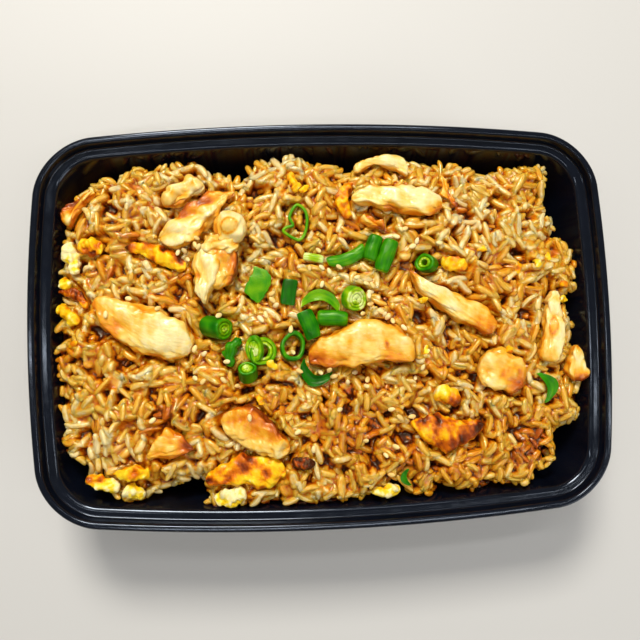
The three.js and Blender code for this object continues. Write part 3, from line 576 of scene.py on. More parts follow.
# %% Chicken pieces
CHICKEN = {
    "left_slab": body(
        (-87, 10), (-51, -8.4), 16.8, 8, -2, sink=1.6, roll=8, blunt=3, left=(6.6, 6.2, 9.4, 10.4, 10, 8),
        right=(1.5, 4.2, 6.6, 7.6, 7.4, 5), sear=(215, 0.5),
        marks=((0, 0, 7, 0.5), (0.5, 0.5, 4, 0.28), (0.25, -0.8, 6, 0.3), (0.75, -0.9, 4, 0.25))),
    "far_slice": body(
        (11, 47.6), (46.2, 45), 10.8, 6.5, 0.4, sink=0.6, roll=-6, blunt=2.8,
        left=(4.5, 5.6, 5.7, 5.6, 5.2, 5), right=(3, 2, 3.6, 5.2, 6.6, 5.5), sear=(268, 0.4), base=-0.06,
        marks=((0, 0, 3, 0.5), (0.97, -0.4, 4, 0.5), (0.45, -0.8, 5, 0.3))),
    "right_strip": body(
        (33, 19.4), (64.6, -4.6), 10, 7.5, -1.7, sink=0.8, roll=-8, blunt=3.4,
        left=(1, 0.9, 4.4, 6.4, 6.6, 5.5), right=(1.5, 4.4, 3.8, 3.3, 3, 4.4), sear=(300, 0.5),
        marks=((0, 0, 4, 0.75), (0.35, -0.6, 5, 0.3), (0.9, -0.2, 6, 0.25), (0.6, 0.5, 3, 0.15))),
    "middle_chunk": body(
        (-7.2, -12.8), (32.8, -11.8), 15, 8.5, 2.2, sink=1.2, roll=6, blunt=4,
        left=(5, 7.6, 10.4, 10.9, 10.4, 7.4), right=(4, 5.4, 6.4, 4.6, 5.4, 5.4),
        sear=(262, 0.55), base=0.16,
        marks=((0.3, -0.3, 2, 0.4), (0.04, 0, 7, 0.5), (0.2, -0.5, 2, 0.3), (0.73, 0.25, 0.9, 0.8),
        (0.85, -0.9, 6, 0.5), (0.4, 0.3, 1.6, 0.3), (0.5, 0.1, 0.5, 0.5), (0.62, -0.1, 0.4, 0.5),
        (0.45, 0.6, 0.4, 0.5), (0.7, 0.6, 0.4, 0.4))),
    "lower_chunk": body(
        (-40.3, -34.2), (-15.3, -47.2), 14.2, 8, 1, sink=1.6, roll=5, blunt=3,
        left=(6, 7.2, 8, 6.2, 4.2, 3.6), right=(4, 5.6, 6, 6.2, 5.8, 6), sear=(60, 0.55), base=0.15,
        rough=1.5, marks=((0.4, 0.5, 7, 0.5), (0.75, 0.6, 4, 0.4), (0.1, 0, 3, 0.3))),
    "pulled_piece": body(
        (-43, 32), (-45.4, 8.6), 10, 8.5, -0.6, sink=0.6, blunt=3, left=(3, 4.2, 4.6, 3.8, 2.8, 1.6),
        right=(5, 6, 5.4, 4.2, 3, 1.8), sear=(0, 0.1), rough=1.1,
        marks=((0.55, -0.9, 1.6, 0.5), (0.3, 0.9, 1.4, 0.5))),
    "pulled_lobe": body(
        (-37, 32), (-41, 14), 10, 7.8, 1.6, sink=0.9, blunt=3, left=(4, 5, 4.8, 3.6, 2),
        right=(5, 5.4, 5, 3.8, 2), sear=(0, 0.8), base=0.16, rough=1.1, node="chicken_pulled_piece",
        marks=((0.3, -0.2, 2.5, 0.4), (0.6, 0.5, 3, 0.3))),
    "pulled_collar": body(
        (-48, 28.6), (-32, 30.6), 9, 8.4, 0.8, blunt=2.4, lift=0.2, left=(2, 3.4, 4.4, 4.2, 3),
        right=(3.4, 4.6, 4.4, 4.4, 3), sear=(20, 0.2), rough=1.8, node="chicken_pulled_piece",
        marks=((0.9, 0.2, 2, 0.4), (0.5, -0.7, 1.6, 0.4))),
    "pulled_knob": body(
        (-35.2, 43.4), (-36.2, 30.4), 12.4, 8, blunt=2.2, lift=1.2, sear=(200, 0.25), disc=2.9, rough=1.4,
        node="chicken_pulled_piece"),
    "browned_strip": body(
        (-33.4, 51), (-62.3, 34), 12, 7, -0.4, sink=1.4, roll=10, blunt=3.2, left=(1, 2.4, 5.4, 8.4, 9, 7.4),
        right=(2.4, 3.6, 4.4, 4, 3.4, 2.6), sear=(120, 0.6), rough=1.6,
        marks=((0.35, -0.6, 5, 0.55), (0.6, -0.7, 5, 0.6), (0.1, 0.3, 4, 0.2))),
    "round_chunk": body(
        (58, -18.4), (76.2, -23.2), 15.6, 8.5, 0.6, sink=2.2, blunt=3, left=(7.6, 7.8, 7.8, 6.9, 6.6),
        right=(7.4, 6.4, 7, 7.8, 7.6), sear=(330, 0.35), base=0.16, rough=1.25,
        marks=((0.6, 0.1, 4, 0.35), (0.45, -0.2, 1.2, 0.4), (0.3, 0.7, 2, 0.25), (0.8, 0.3, 1, 0.4),
        (0.85, -0.7, 4, 0.35))),
    "right_sliver": body(
        (90.6, 10.4), (85.8, -17.2), 8.8, 6, -0.5, sink=1.2, roll=8, blunt=3, left=(2.4, 3.4, 4.4, 5, 5),
        right=(2.6, 3.3, 3.5, 3.8, 5), sear=(200, 0.3), disc=1.8, oval=1.9,
        marks=((0.95, 0, 3, 0.3), (0.1, 0, 3, 0.2))),
    "hooked_piece": body(
        (12.6, 60), (34, 58.8), 7.4, 6, 3.4, sink=0.6, blunt=3, left=(2.4, 2.6, 3, 4.6),
        right=(2.6, 2.4, 3, 4.4), sear=(250, 0.3)),
    "golden_piece": body(
        (-68.2, -47.4), (-51, -45.4), 9.6, 6, 2.6, sink=1.6, left=(1.5, 4.2, 7, 5.2, 3),
        right=(3, 3, 3.9, 4.1, 3), sear=(-10, 0.6), base=0.3),
    "edge_piece": body(
        (98.4, -11), (96.8, -25.2), 7.4, 6.5, -0.8, sink=1.2, left=(1.5, 3, 4.6, 5.6, 5),
        right=(2.4, 1.8, 2.4, 3.2, 2), sear=(280, 0.6),
        marks=((0.05, 0, 2.5, 0.5), (0.9, 0.3, 3, 0.6), (0.5, -0.9, 2, 0.4))),
    "corner_piece": body((-98.6, 41), (-87, 53), 5.4, 4, 2, sink=0.8, sear=(160, 0.9), base=0.08, rough=1.8),
    "golden_shred": body(
        (-61.4, 48.2), (-45, 54.4), 9, 3.8, 0.2, sink=1.4, fullest=0.55, left=(2, 3.4, 2.6, 4.4, 3.6),
        right=(3, 4.4, 4.6, 3.2, 2), sear=(200, 0.3), base=0.08, rough=2.2,
        marks=((0.3, 0.3, 1.2, 0.4), (0.55, -0.4, 1.5, 0.35), (0.8, 0.3, 1.2, 0.45))),
    "fibre_shred": body(
        (47.4, 57), (52.2, 44.2), 4, 3, -0.8, sink=0.7, sear=(0, 0.6), left=(1.2, 2, 1.4, 2.2, 1.2),
        right=(1, 1.2, 2, 1.6, 1), base=0.2, rough=1.8),
    "brown_strip": body(
        (15, 41.2), (24, 35), 4.4, 3, 0.6, sink=0.8, sear=(0, 0.6), base=0.3, left=(1, 2, 1.4, 2.2, 1.6),
        right=(1.6, 1.4, 2.2, 1.8, 1.2), rough=1.8),
}
MEAT_RELIEF = ((14, 0.6, 1.5), (6, 0.5, 1.4), (2.4, 0.22, 1.8), (1.1, 0.09, 3))
MEAT_GROOVES = ((12, 0.5, 2.0), (5.5, 0.3, 2.4))
print("marks on the chicken:", sum(len(piece.marks) for piece in CHICKEN.values()))


# %% How seared each place is
def smooth_step(value, low, high):
    """0 below low, 1 above high and eased between."""
    return eased(np.clip((value - low) / (high - low), 0, 1))


def marked(piece, facts):
    """The sum of the marks, each of them amount x e^-(distance / reach)^2 over the piece."""
    length, half = facts.along.max(), piece.width / 2
    total = np.zeros(facts.run.shape)
    for run, side, wide, deep in piece.marks:
        away = np.hypot((facts.run - run) * length, (facts.side - side) * half) / wide
        total += deep * np.exp(-away ** 2)
    return total


def sear_values(piece, grid, facts):
    """Sear = amount x (side towards the pan) + low edges + marks + patches + ends, kept between 0 and 1,
    with painted shade in the relief's grooves and painted light on its bumps.
    """
    heading, amount = piece.sear
    direction = np.array([math.cos(math.radians(heading)), math.sin(math.radians(heading)), -0.35])
    reach = (grid - grid.mean(axis=(0, 1))) @ direction
    reach = reach / np.abs(reach).max()
    patch = ripples(grid, 6.0, piece.seed + 5) * 0.5 + ripples(grid, 2.2, piece.seed + 6) * 0.3
    rim = smooth_step(facts.edge, 0.75, 1.0) * 0.3
    sear = amount * smooth_step(reach, -0.1, 0.9) * 0.75 + rim * (0.4 + amount) + 0.2 * amount * patch
    # Painted shade and light: the grooves of the relief are darker and its bumps lighter
    sear += 0.2 * amount * (np.abs(2 * facts.run - 1) ** 6) - 0.16 * np.minimum(facts.relief, 0.3)
    sear += piece.base + 0.75 * marked(piece, facts) * (1 + 0.3 * patch)
    if piece.disc:
        lengthwise = (facts.run - 0.5) * facts.along.max() / piece.oval
        from_middle = np.hypot(lengthwise, facts.side * piece.width / 2) + 9 * (facts.upper < 0)
        sear += 0.4 * np.exp(-((from_middle - piece.disc) / 0.5) ** 2) + 0.22 * (from_middle < piece.disc)
    return {"sear": np.clip(sear, 0, 1), "along": facts.along, "over": facts.over}


# %% Cooked chicken
def fibres(tree, size_mm, stretch):
    """Noise drawn out along the piece's own length, from the carried places along and over it."""
    along = add_node(tree, "Math", {0: carried(tree, "along"), 1: stretch}, operation="DIVIDE").outputs[0]
    place = add_node(tree, "CombineXYZ", {"X": along, "Y": carried(tree, "over")}).outputs["Vector"]
    return add_node(tree, "TexNoise", {"Vector": place, "Scale": 1 / size_mm, "Detail": 4.0}).outputs["Fac"]


meat, tree, shader = new_material(
    "cooked_chicken", Roughness=0.34, Subsurface_Weight=0.3, Subsurface_Scale=0.002, Coat_Weight=0.3,
    Subsurface_Radius=(1.0, 0.65, 0.3), Specular_Tint=(1.0, 0.88, 0.6, 1.0), Coat_Roughness=0.15)
toasted = mixed(tree, carried(tree, "sear"), fibres(tree, 0.9, 3.0), 0.26)
toasted = mixed(tree, toasted, noise(tree, 3.0, 4.0), 0.25)
paint(tree, shader, toasted, [
    (0.0, 0.9, 0.74, 0.35), (0.16, 0.89, 0.61, 0.15), (0.36, 0.84, 0.41, 0.02),
    (0.58, 0.74, 0.22, 0.002), (0.8, 0.52, 0.1, 0.001), (1.0, 0.22, 0.03, 0.001),
])
add_bump(tree, shader, fibres(tree, 0.7, 3.0), 0.22)
lay_out(CHICKEN, "meat", "chicken", meat, (110, 64), sear_values, 20,
        relief=MEAT_RELIEF, grooves=MEAT_GROOVES, square=0.6, ragged=0.03)
print("chicken pieces:", len(CHICKEN))

# %% [markdown]
# ## Fried egg
# Scrambled and fried egg is thinner and more crinkled than the meat: bright yellow where
# the yolk set, white at some edges and burnt orange to dark red where it stuck to the pan.
# The same function makes it, with stronger and shorter relief and a carried char value.

# %% Egg pieces
EGG = {
    "yellow_strip": body(
        (-75, 31), (-52.2, 22.6), 5.8, 3.8, 1.6, fullest=0.6, char=0.18,
        marks=((0, 0, 4, 1), (0.3, 1, 2.4, 0.5), (0.6, 1, 2.4, 0.7), (0.85, 0.9, 2.4, 0.6),
        (0.5, -0.9, 2, 0.3))),
    "browned_piece": body(
        (-47, -57.6), (-16.8, -55.4), 10, 5.4, 1, sink=0.8, blunt=3, left=(4, 5.4, 6.2, 6, 5),
        right=(4, 3, 4.4, 6.4, 3), char=0.28,
        marks=((0, 0, 3, 0.6), (0.5, 0.9, 4, 0.4), (0.75, -0.2, 2, 0.3), (0.2, -0.8, 3, 0.35))),
    "charred_piece": body(
        (31, -39), (59, -40), 12.6, 6, -1.6, sink=1.2, blunt=3, left=(3, 5.6, 3.8, 2.4, 3),
        right=(3, 6.6, 8.2, 7, 3), char=0.38,
        marks=((1, 0, 6, 0.7), (0.15, 0.7, 2.5, 0.4), (0.62, -0.6, 4, 0.35), (0.35, 0.9, 3, 0.3))),
    "far_crescent": body((11.6, 54.4), (8.8, 40.2), 5.8, 3.8, -3, char=0.42),
    "lower_left_blob": body((-81, -53.6), (-67.4, -54), 5.6, 4, 0.8, fullest=0.6, char=0.3),
    "left_pale_piece": body((-96.6, 34), (-94, 21.4), 5, 4, char=0.03),
    "left_edge_strip": body((-101, 15.8), (-89.6, 8.4), 3.4, 3, 2, char=0.6),
    "near_pale_piece": body((-44, -65), (-32, -62.4), 6.8, 3.6, -0.4, char=0.05),
    "far_yellow_bit": body((-12.4, 59), (-9.6, 51), 3.6, 3, -0.3, char=0.3),
    "yellow_brown_bit": body(
        (40.4, -27.6), (50.2, -31.2), 7.2, 4.4, 0.3, fullest=0.4, char=0.2, marks=((1, -0.2, 5, 0.6),)),
    "near_yellow_bit": body((15, -64.4), (26.8, -64.8), 4, 3.4, 0.3, fullest=0.6, char=0.1),
    "left_golden_bit": body((-92.4, 31.6), (-83, 30.6), 5.6, 4, char=0.35),
    "right_golden_bit": body((45.4, 23.8), (54.6, 20), 6, 4, fullest=0.45, char=0.35),
    "corner_white_bit": body(
        (-91, -54.6), (-79.4, -60), 5.4, 4, 0.2, char=0.03, marks=((0, 0, 3, 0.6), (0.4, 0.8, 1.5, 0.4))),
    "corner_pale_bit": body((-77, -58.8), (-70.6, -63.6), 5.2, 4, 0.1, char=0.1),
    "charred_bit": body((-14.6, -51.4), (-5.6, -52.6), 5.6, 4, char=0.9),
    "left_tip_bit": body((-101.6, 9.6), (-92.6, 3), 4.6, 3.6, 0.2, fullest=0.45, char=0.3),
    "left_cap_bit": body((-99.6, 20.6), (-96.8, 16.2), 4, 3.4, 0.2, fullest=0.4, char=0.2),
}
EGG_RELIEF = ((7, 0.6, 1.2), (3.2, 0.4, 1), (1.5, 0.16, 1))


def char_values(piece, grid, facts):
    """Char = amount + patches + rims + marks - relief, kept between 0 and 1: the relief term is painted
    shade in the grooves and painted light on the bumps.
    """
    patch = ripples(grid, 6.0, piece.seed + 5) * 0.5 + ripples(grid, 2.0, piece.seed + 6) * 0.3
    rim = smooth_step(facts.edge, 0.7, 1.0) * 0.3
    # Painted shade and light: the grooves of the relief are darker and its bumps lighter
    char = piece.char + (0.12 + 0.35 * piece.char) * (patch + rim) - 0.15 * facts.relief
    return {"char": np.clip(char + marked(piece, facts), 0, 1)}


egg = food_finish("fried_egg", "char", (1.4, 5.0), 0.28, [
    (0.0, 0.95, 0.82, 0.4), (0.12, 0.97, 0.68, 0.02), (0.34, 0.92, 0.44, 0.001),
    (0.52, 0.68, 0.15, 0.001), (0.72, 0.26, 0.03, 0.001), (0.95, 0.05, 0.006, 0.001),
], (0.8, 5.0, 0.3), Roughness=0.34, Specular_IOR_Level=0.35, Specular_Tint=(1.0, 0.8, 0.4, 1.0),
    Subsurface_Weight=0.15, Subsurface_Scale=0.0015, Subsurface_Radius=(1.0, 0.7, 0.2), Coat_Weight=0.12,
    Coat_Roughness=0.1)
lay_out(EGG, "fried", "egg", egg, (64, 40), char_values, 60, relief=EGG_RELIEF, ragged=0.1)
print("egg pieces:", len(EGG))

# %% [markdown]
# ## Spring onion
# Cut leaves lie as thin curled sheets with fine lines along them, flattened tubes show a
# pale streak where they shine, and the stems were sliced across, which shows rings of
# yellow-green round a whitish middle. Sheets and tubes are bodies with a flat or a round
# section and blunt ends. The rings are a square section carried round a leaning circle.

# %% Onion leaves and rolled lengths
LEAVES = {
    "leaf_patch": body(
        (-26.6, 22.8), (-25.6, 8.8), 10.6, 0.9, sink=-0.6, curl=0.3, arch=0.4,
        left=(0.8, 4.6, 5.8, 5.4, 4.4, 2.6, 0.8), right=(0.6, 1, 2.4, 4.2, 4.8, 3, 0.8), shade=0.6,
        lines=0.3),
    "dark_patch": body((-13, 17.3), (-14.6, 7.6), 5.8, 0.9, sink=-1, curl=-0.4, arch=0.2, shade=0.1),
    "light_arc": body(
        (-9.4, 7.8), (5.2, 5.2), 4.4, 1, 4.4, sink=-1.4, curl=0.6, arch=1.6, point=0.15, shade=0.7),
    "standing_patch": body(
        (-8.6, 5), (-4.8, -5.4), 6.2, 0.8, 0.2, sink=-4.4, curl=-1, arch=0.6, point=0.05, shade=0.3),
    "dark_fold": body((-9.6, -14.2), (1.4, -19.6), 4.6, 1, -4.6, sink=-0.3, curl=1.1, point=0.1, shade=0.14),
    "right_leaf": body(
        (81.4, -21.4), (84.6, -33), 4.6, 0.9, 3.8, sink=-0.3, curl=0.8, arch=0.8, point=0.6, shade=0.4),
    "near_curl": body(
        (29.4, -56), (30.4, -62.6), 2.4, 0.9, -2.2, sink=-0.3, curl=0.4, point=0.3, shade=0.35),
}
ROLLS = {
    "roll_behind_chunk": body((-3.4, 2.4), (8.2, 1.6), 6, 4.4, 0.2, shade=0.42),
    "double_tube_left": body((20.6, 33.4), (17.2, 23.8), 5.8, 5, -0.3, shade=0.34),
    "double_tube_right": body((26.4, 31.4), (21.6, 19.4), 6.2, 5.2, -0.3, shade=0.42),
    "green_strip": body((1, 23.6), (15.8, 28.8), 5, 2.8, -1.6, fullest=0.6, shade=0.5),
    "yellow_green_tip": body((-8, 26), (-0.4, 24.4), 3.2, 1.8, 0.3, shade=0.95),
    "dark_chain": body(
        (-33, -4.4), (-37, -15), 5.8, 4, -1.2, shade=0.36, rough=4, left=(1.4, 2.4, 1.5, 2.8, 1.7, 2.4, 1.2),
        right=(1.4, 1.4, 2.6, 1.5, 2.6, 1.8, 1.2)),
}


def leaf_values(piece, grid, facts):
    """Shade of green from the piece, with fine lines along it that follow its width, and paler cut ends."""
    lines = 0.08 * piece.lines * np.sin(facts.side * 26 + 2 * facts.run)
    lines += 0.3 * smooth_step(np.abs(2 * facts.run - 1), 0.93, 1)
    return {"shade": np.clip(piece.shade + lines + 0.1 * ripples(grid, 5.0, piece.seed), 0, 1)}


leaf_green = food_finish("onion_green", "shade", (1.5, 4.0), 0.12, [
    (0.0, 0.003, 0.075, 0.0005), (0.25, 0.008, 0.15, 0.0005), (0.5, 0.04, 0.25, 0.0005),
    (0.75, 0.17, 0.39, 0.0005), (0.9, 0.38, 0.55, 0.006), (1.0, 0.66, 0.76, 0.26),
], (0.7, 3.0, 0.08), Roughness=0.33, Specular_IOR_Level=0.22, Specular_Tint=(0.85, 1.0, 0.55, 1.0),
    Subsurface_Weight=0.25, Subsurface_Scale=0.0012, Subsurface_Radius=(0.4, 1.0, 0.1), Coat_Weight=0.05,
    Coat_Roughness=0.08)
LEAF_RELIEF = ((5, 0.12, 1), (1.4, 0.05, 6))
for pieces, first_seed, blunt, square in ((LEAVES, 90, 9, 0.5), (ROLLS, 90 + len(LEAVES), 6, 0.9)):
    lay_out(pieces, "green", "onion", leaf_green, (64, 40), leaf_values, first_seed,
            relief=LEAF_RELIEF, blunt=blunt, square=square)
print("leaves and rolls:", len(LEAVES) + len(ROLLS))

# %% Onion rings and stem slices
# Each layer: outer radius, inner radius, shade
RINGS = {
    "stem_slice_pale": dict(
        at=(10.6, 9.2), squash=0.9, height=4.6, lift=3.2, lean=32, towards=-30,
        layers=((4.9, 3.3, 0.78), (3.5, 2.2, 0.88), (2.3, 0.05, 0.98))),
    "small_ring": dict(
        at=(39.6, 22.2), squash=0.95, height=5, lift=2, lean=38, towards=170,
        layers=((3.9, 2.4, 0.36), (2.5, 1.2, 0.7))),
    "left_tube": dict(
        at=(-41.6, -0.2), squash=0.92, height=9, lift=2.4, lean=56, towards=-14,
        layers=((4.7, 2.9, 0.42), (3.1, 1.5, 0.56), (1.7, 0.05, 0.7))),
    "stem_slice_green": dict(
        at=(-24.4, -9.8), squash=1.05, height=2.6, lift=1.6, lean=24, towards=10,
        layers=((5.2, 3.7, 0.6), (3.6, 2.4, 0.78))),
    "stem_slice_oval": dict(
        at=(-27.2, -8.6), squash=1.35, height=3, lift=3, lean=22, towards=200,
        layers=((3.5, 2.1, 0.62), (2.2, 0.05, 0.9)), node="onion_stem_slice_green"),
    "stem_end": dict(
        at=(-30.2, -17.6), squash=0.9, height=7, lift=1.8, lean=34, towards=90,
        layers=((3.4, 2.2, 0.44), (2.3, 0.05, 0.76))),
    "open_ring": dict(
        at=(-13, -8.2), squash=1.16, height=3.4, lift=1.4, lean=14, towards=40,
        layers=((4.9, 3.4, 0.34),)),
}
RING_COUNT, RING_SIDES = 56, 20


def ring_layer(ring, outer, inner, shade):
    """A squared section carried round a circle: r = middle + half wall cos a, up = half height sin a,
    then leaned over towards its compass direction."""
    phi, a = turns(RING_COUNT)[:, None], turns(RING_SIDES)
    out, up = squared(np.cos(a), 0.45), squared(np.sin(a), 0.45)
    x, y = ring["at"]
    wave = 1 + 0.06 * np.sin(2 * phi + x) + 0.03 * np.sin(3 * phi + y) + 0.015 * np.sin(5 * phi)
    radius = ((outer + inner) / 2 + (outer - inner) / 2 * out) * wave
    flat = np.stack([radius * np.cos(phi), radius * ring["squash"] * np.sin(phi),
                     ring["height"] / 2 * up + 0.12 * np.sin(3 * phi + outer)], -1)
    lean, towards = math.radians(ring["lean"]), math.radians(ring["towards"])
    hinge = np.array([-math.sin(towards), math.cos(towards), 0])
    turned = (flat * math.cos(lean) + np.cross(hinge, flat) * math.sin(lean)
              + hinge * (flat @ hinge)[..., None] * (1 - math.cos(lean)))
    placed = turned + np.array([x, y, float(heap_top(x, y)) + ring["lift"]])
    depth = (out + 1) / 2
    cut_face = smooth_step(np.abs(up), 0.7, 1.0) * (1 - 0.5 * depth)
    streaks = 0.05 * np.sin(9 * phi + outer) + 0.12 * ripples(placed, 5.0, 3)
    return placed, np.clip(shade + 0.2 * cut_face - 0.1 * depth + streaks, 0, 1)


for name, ring in RINGS.items():
    grids, shades = zip(*(ring_layer(ring, *layer) for layer in ring["layers"]))
    laid += grids
    faces = repeated(ring_faces(RING_COUNT, RING_SIDES), len(grids), RING_COUNT * RING_SIDES)
    add_piece(f"cut_{name}", np.concatenate(grids).reshape(-1, 3), faces, leaf_green,
              ring.get("node", f"onion_{name}"), {"shade": np.concatenate(shades)})

# %% The ring squeezed into a heart
HEART_AT, HEART_BAND, HEART_HEIGHT, HEART_LIFT = (-10.4, 39.2), 1.2, 1.8, 1.7
HEART_OUTLINE = [
    (-2.4, 2.4), (0.5, 6.8), (3.9, 3.9), (3.9, -2.3), (1.1, -6.7), (-4.6, -3.6), (-3.9, -1.9), (-1.2, -0.9),
]
HEART_COUNT, HEART_SIDES = 96, 16


def closed_curve(corners, count):
    """Catmull-Rom curve: each span blends its four nearest corners by cubic weights."""
    p = np.array(corners, float)
    place = np.arange(count) / count * len(p)
    index, t = place.astype(int), (place % 1)[:, None]
    a, b, c, d = (p[(index + k) % len(p)] for k in (-1, 0, 1, 2))
    bent = 2 * b + (c - a) * t + (2 * a - 5 * b + 4 * c - d) * t ** 2 + (3 * b - a - 3 * c + d) * t ** 3
    return 0.5 * bent


heart = closed_curve(HEART_OUTLINE, HEART_COUNT)
ahead = np.roll(heart, -1, 0) - np.roll(heart, 1, 0)
ahead /= np.linalg.norm(ahead, axis=1, keepdims=True)
outwards = np.column_stack([ahead[:, 1], -ahead[:, 0]])[:, None]
a = turns(HEART_SIDES)
band = heart[:, None] + outwards * (HEART_BAND / 2 * squared(np.cos(a), 0.6))[None, :, None]
rise = float(heap_top(*HEART_AT)) + HEART_LIFT + HEART_HEIGHT / 2 * squared(np.sin(a), 0.6)
grid = np.concatenate([band + HEART_AT, rise[None, :, None] + 0.0 * heart[:, :1, None]], -1)
laid.append(grid)
# Painted light and shade: the top of the band is lighter and its underside darker
shades = np.clip(0.5 + 0.15 * np.sin(a)[None] + 0.1 * np.sin(heart[:, :1]), 0, 1)
add_piece("cut_heart_ring", grid.reshape(-1, 3), ring_faces(HEART_COUNT, HEART_SIDES), leaf_green,
          "onion_heart_ring", {"shade": shades})
print("rings:", len(RINGS) + 1)

# %% [markdown]
# ## Letting the grains settle
# Each grain is dropped onto the height map. Its two ends feel for the highest ground under
# them, which tips it, and then it comes down until it touches, sinking a little into what
# lies below as soft rice does. It tries a few headings and keeps the one that lies lowest,
# and then the map rises by the grain's own top. The heap's wanted surface is clumpy, with
# hollows between the clumps, and no grain may stand far above it. A second map holds the
# undersides of the toppings and the tray, which keeps grains from poking through them.

# %% The height map
CELL = 0.5
MAP_X, MAP_Y = np.arange(-104, 104, CELL), np.arange(-71, 71, CELL)
PLACE_X, PLACE_Y = np.meshgrid(MAP_X, MAP_Y)
FLAT_PLACES = np.stack([PLACE_X, PLACE_Y, 0 * PLACE_X], -1)
SHUT, OPEN = -99.0, 99.0
GRAIN_INSET, SEED_INSET = 7.8, 8.4
WANTED_RISE, CLUMP, HOLLOW, DEEP_HOLLOW = 1.0, 1.3, 4.2, 5.0
ground = core_top(PLACE_X, PLACE_Y)
ceiling = np.where(inside_plan(PLACE_X, PLACE_Y) < GRAIN_INSET, SHUT, OPEN)
wanted = heap_top(PLACE_X, PLACE_Y, seen_gap) + WANTED_RISE + CLUMP * ripples(FLAT_PLACES, 12.0, 5)
wanted += 0.3 * ripples(FLAT_PLACES, 5.5, 15)
wanted -= HOLLOW * smooth_step(ripples(FLAT_PLACES, 9.0, 6), 0.85, 1.4)
# Deep hollows that the photo shows: place and radius in mm
HOLLOWS = [
    (26, -44, 2.6), (35, -32, 3.4), (57, -46, 2.3), (58, -23, 1.9), (89, -19, 1.9), (75, -43, 3),
    (20, -18, 2.3), (13, -19, 2.3), (-31, 26, 1.9), (-10, -10, 1.9), (-18, -49, 1.9), (-15, -52, 2.3),
    (-8, -59, 1.5), (-70, -13, 1.5), (-85, 0, 1.5), (5, -56, 1.5), (-47, -42, 1.5), (-67, -25, 1.5),
    (70, 7, 1.5), (48, -4, 1.5), (82, 41, 1.5), (-55, 14, 1.5), (-77, 23, 1.5), (-26, 52, 1.5),
    (58, 41, 1.5),
]
for x, y, radius in HOLLOWS:
    wanted -= DEEP_HOLLOW * np.exp(-((PLACE_X - x) ** 2 + (PLACE_Y - y) ** 2) / (1.3 * radius) ** 2)


def stamp(grid, values, reducer):
    """Writes the points of a surface into a map, and spreads them one cell to every side."""
    column = np.clip(((grid[..., 0] - MAP_X[0]) / CELL).round().astype(int), 0, len(MAP_X) - 1).ravel()
    row = np.clip(((grid[..., 1] - MAP_Y[0]) / CELL).round().astype(int), 0, len(MAP_Y) - 1).ravel()
    own = np.full_like(values, SHUT if reducer is np.maximum else OPEN)
    reducer.at(own, (row, column), grid[..., 2].ravel())
    for axis in (0, 1):
        own = reducer(own, reducer(np.roll(own, 1, axis), np.roll(own, -1, axis)))
    return reducer(values, own)


for grid in laid:
    ceiling = stamp(grid, ceiling, np.minimum)
print("cells under toppings:", int(((ceiling > SHUT) & (ceiling < OPEN)).sum()))


# %% Settling one grain
GRAIN, UNEVEN, END_SHARE = np.array([8.4, 2.6, 2.0]), np.array([0.12, 0.12, 0.08]), 0.12
print("map cells under a grain:", round(GRAIN[0] * GRAIN[1] / CELL ** 2))


def resting(x, y, yaw, length, width, thick, overlap, steepest, tilt):
    """Tips a grain by the ground under its ends and by its own tilt, and lowers it until it touches:
    height = the highest ground + bulge - slope x along, less the overlap. Returns that height, the
    slope, the yaw, the grain's window of the map, the cells under it and its top there."""
    reach = length / 2 + CELL
    column, row = int((x - reach - MAP_X[0]) / CELL), int((y - reach - MAP_Y[0]) / CELL)
    size = int(2 * reach / CELL) + 2
    if column < 0 or row < 0 or column + size > len(MAP_X) or row + size > len(MAP_Y):
        return None
    window = (slice(row, row + size), slice(column, column + size))
    dx, dy = PLACE_X[window] - x, PLACE_Y[window] - y
    along = dx * math.cos(yaw) + dy * math.sin(yaw)
    across = dy * math.cos(yaw) - dx * math.sin(yaw)
    body = 1 - (2 * along / length) ** 4 - (2 * across / width) ** 2
    under = body > 0
    heights = ground[window]
    front, back = under & (along > END_SHARE * length), under & (along < -END_SHARE * length)
    if not front.any() or not back.any():
        return None
    slope = (heights[front].max() - heights[back].max()) / (0.5 * length) + tilt
    slope = np.clip(slope, -steepest, steepest)
    bulge = thick / 2 * np.sqrt(np.maximum(body, 0))
    height = (heights + bulge - slope * along)[under].max() - overlap
    top = height + slope * along + bulge
    if (top > ceiling[window])[under].any():
        return None
    return height, slope, yaw, window, under, top


def settle(x, y, yaws, size, overlap, steepest, stand=OPEN, tilt=0.0):
    """Lays a grain the way it comes lowest, no higher than `stand` above the wanted surface."""
    ways = [resting(x, y, yaw, *size, overlap, steepest, tilt) for yaw in yaws]
    ways = [way for way in ways if way is not None]
    if not ways:
        return None
    height, slope, yaw, window, under, top = min(ways, key=lambda way: way[5][way[4]].max())
    if (top - wanted[window])[under].max() > stand:
        return None
    heights = ground[window]
    risen = under & (top > heights)
    heights[risen] = top[risen]
    return (x, y, height, yaw, slope, *size), window, risen


# %% Filling the heap
random = np.random.default_rng(7)
ROUNDS, PER_ROUND, OPEN_DEPTH, FEWEST_CELLS, STEEPEST, BROKEN_SHARE = 80, 600, 0.1, 40, 0.95, 0.2
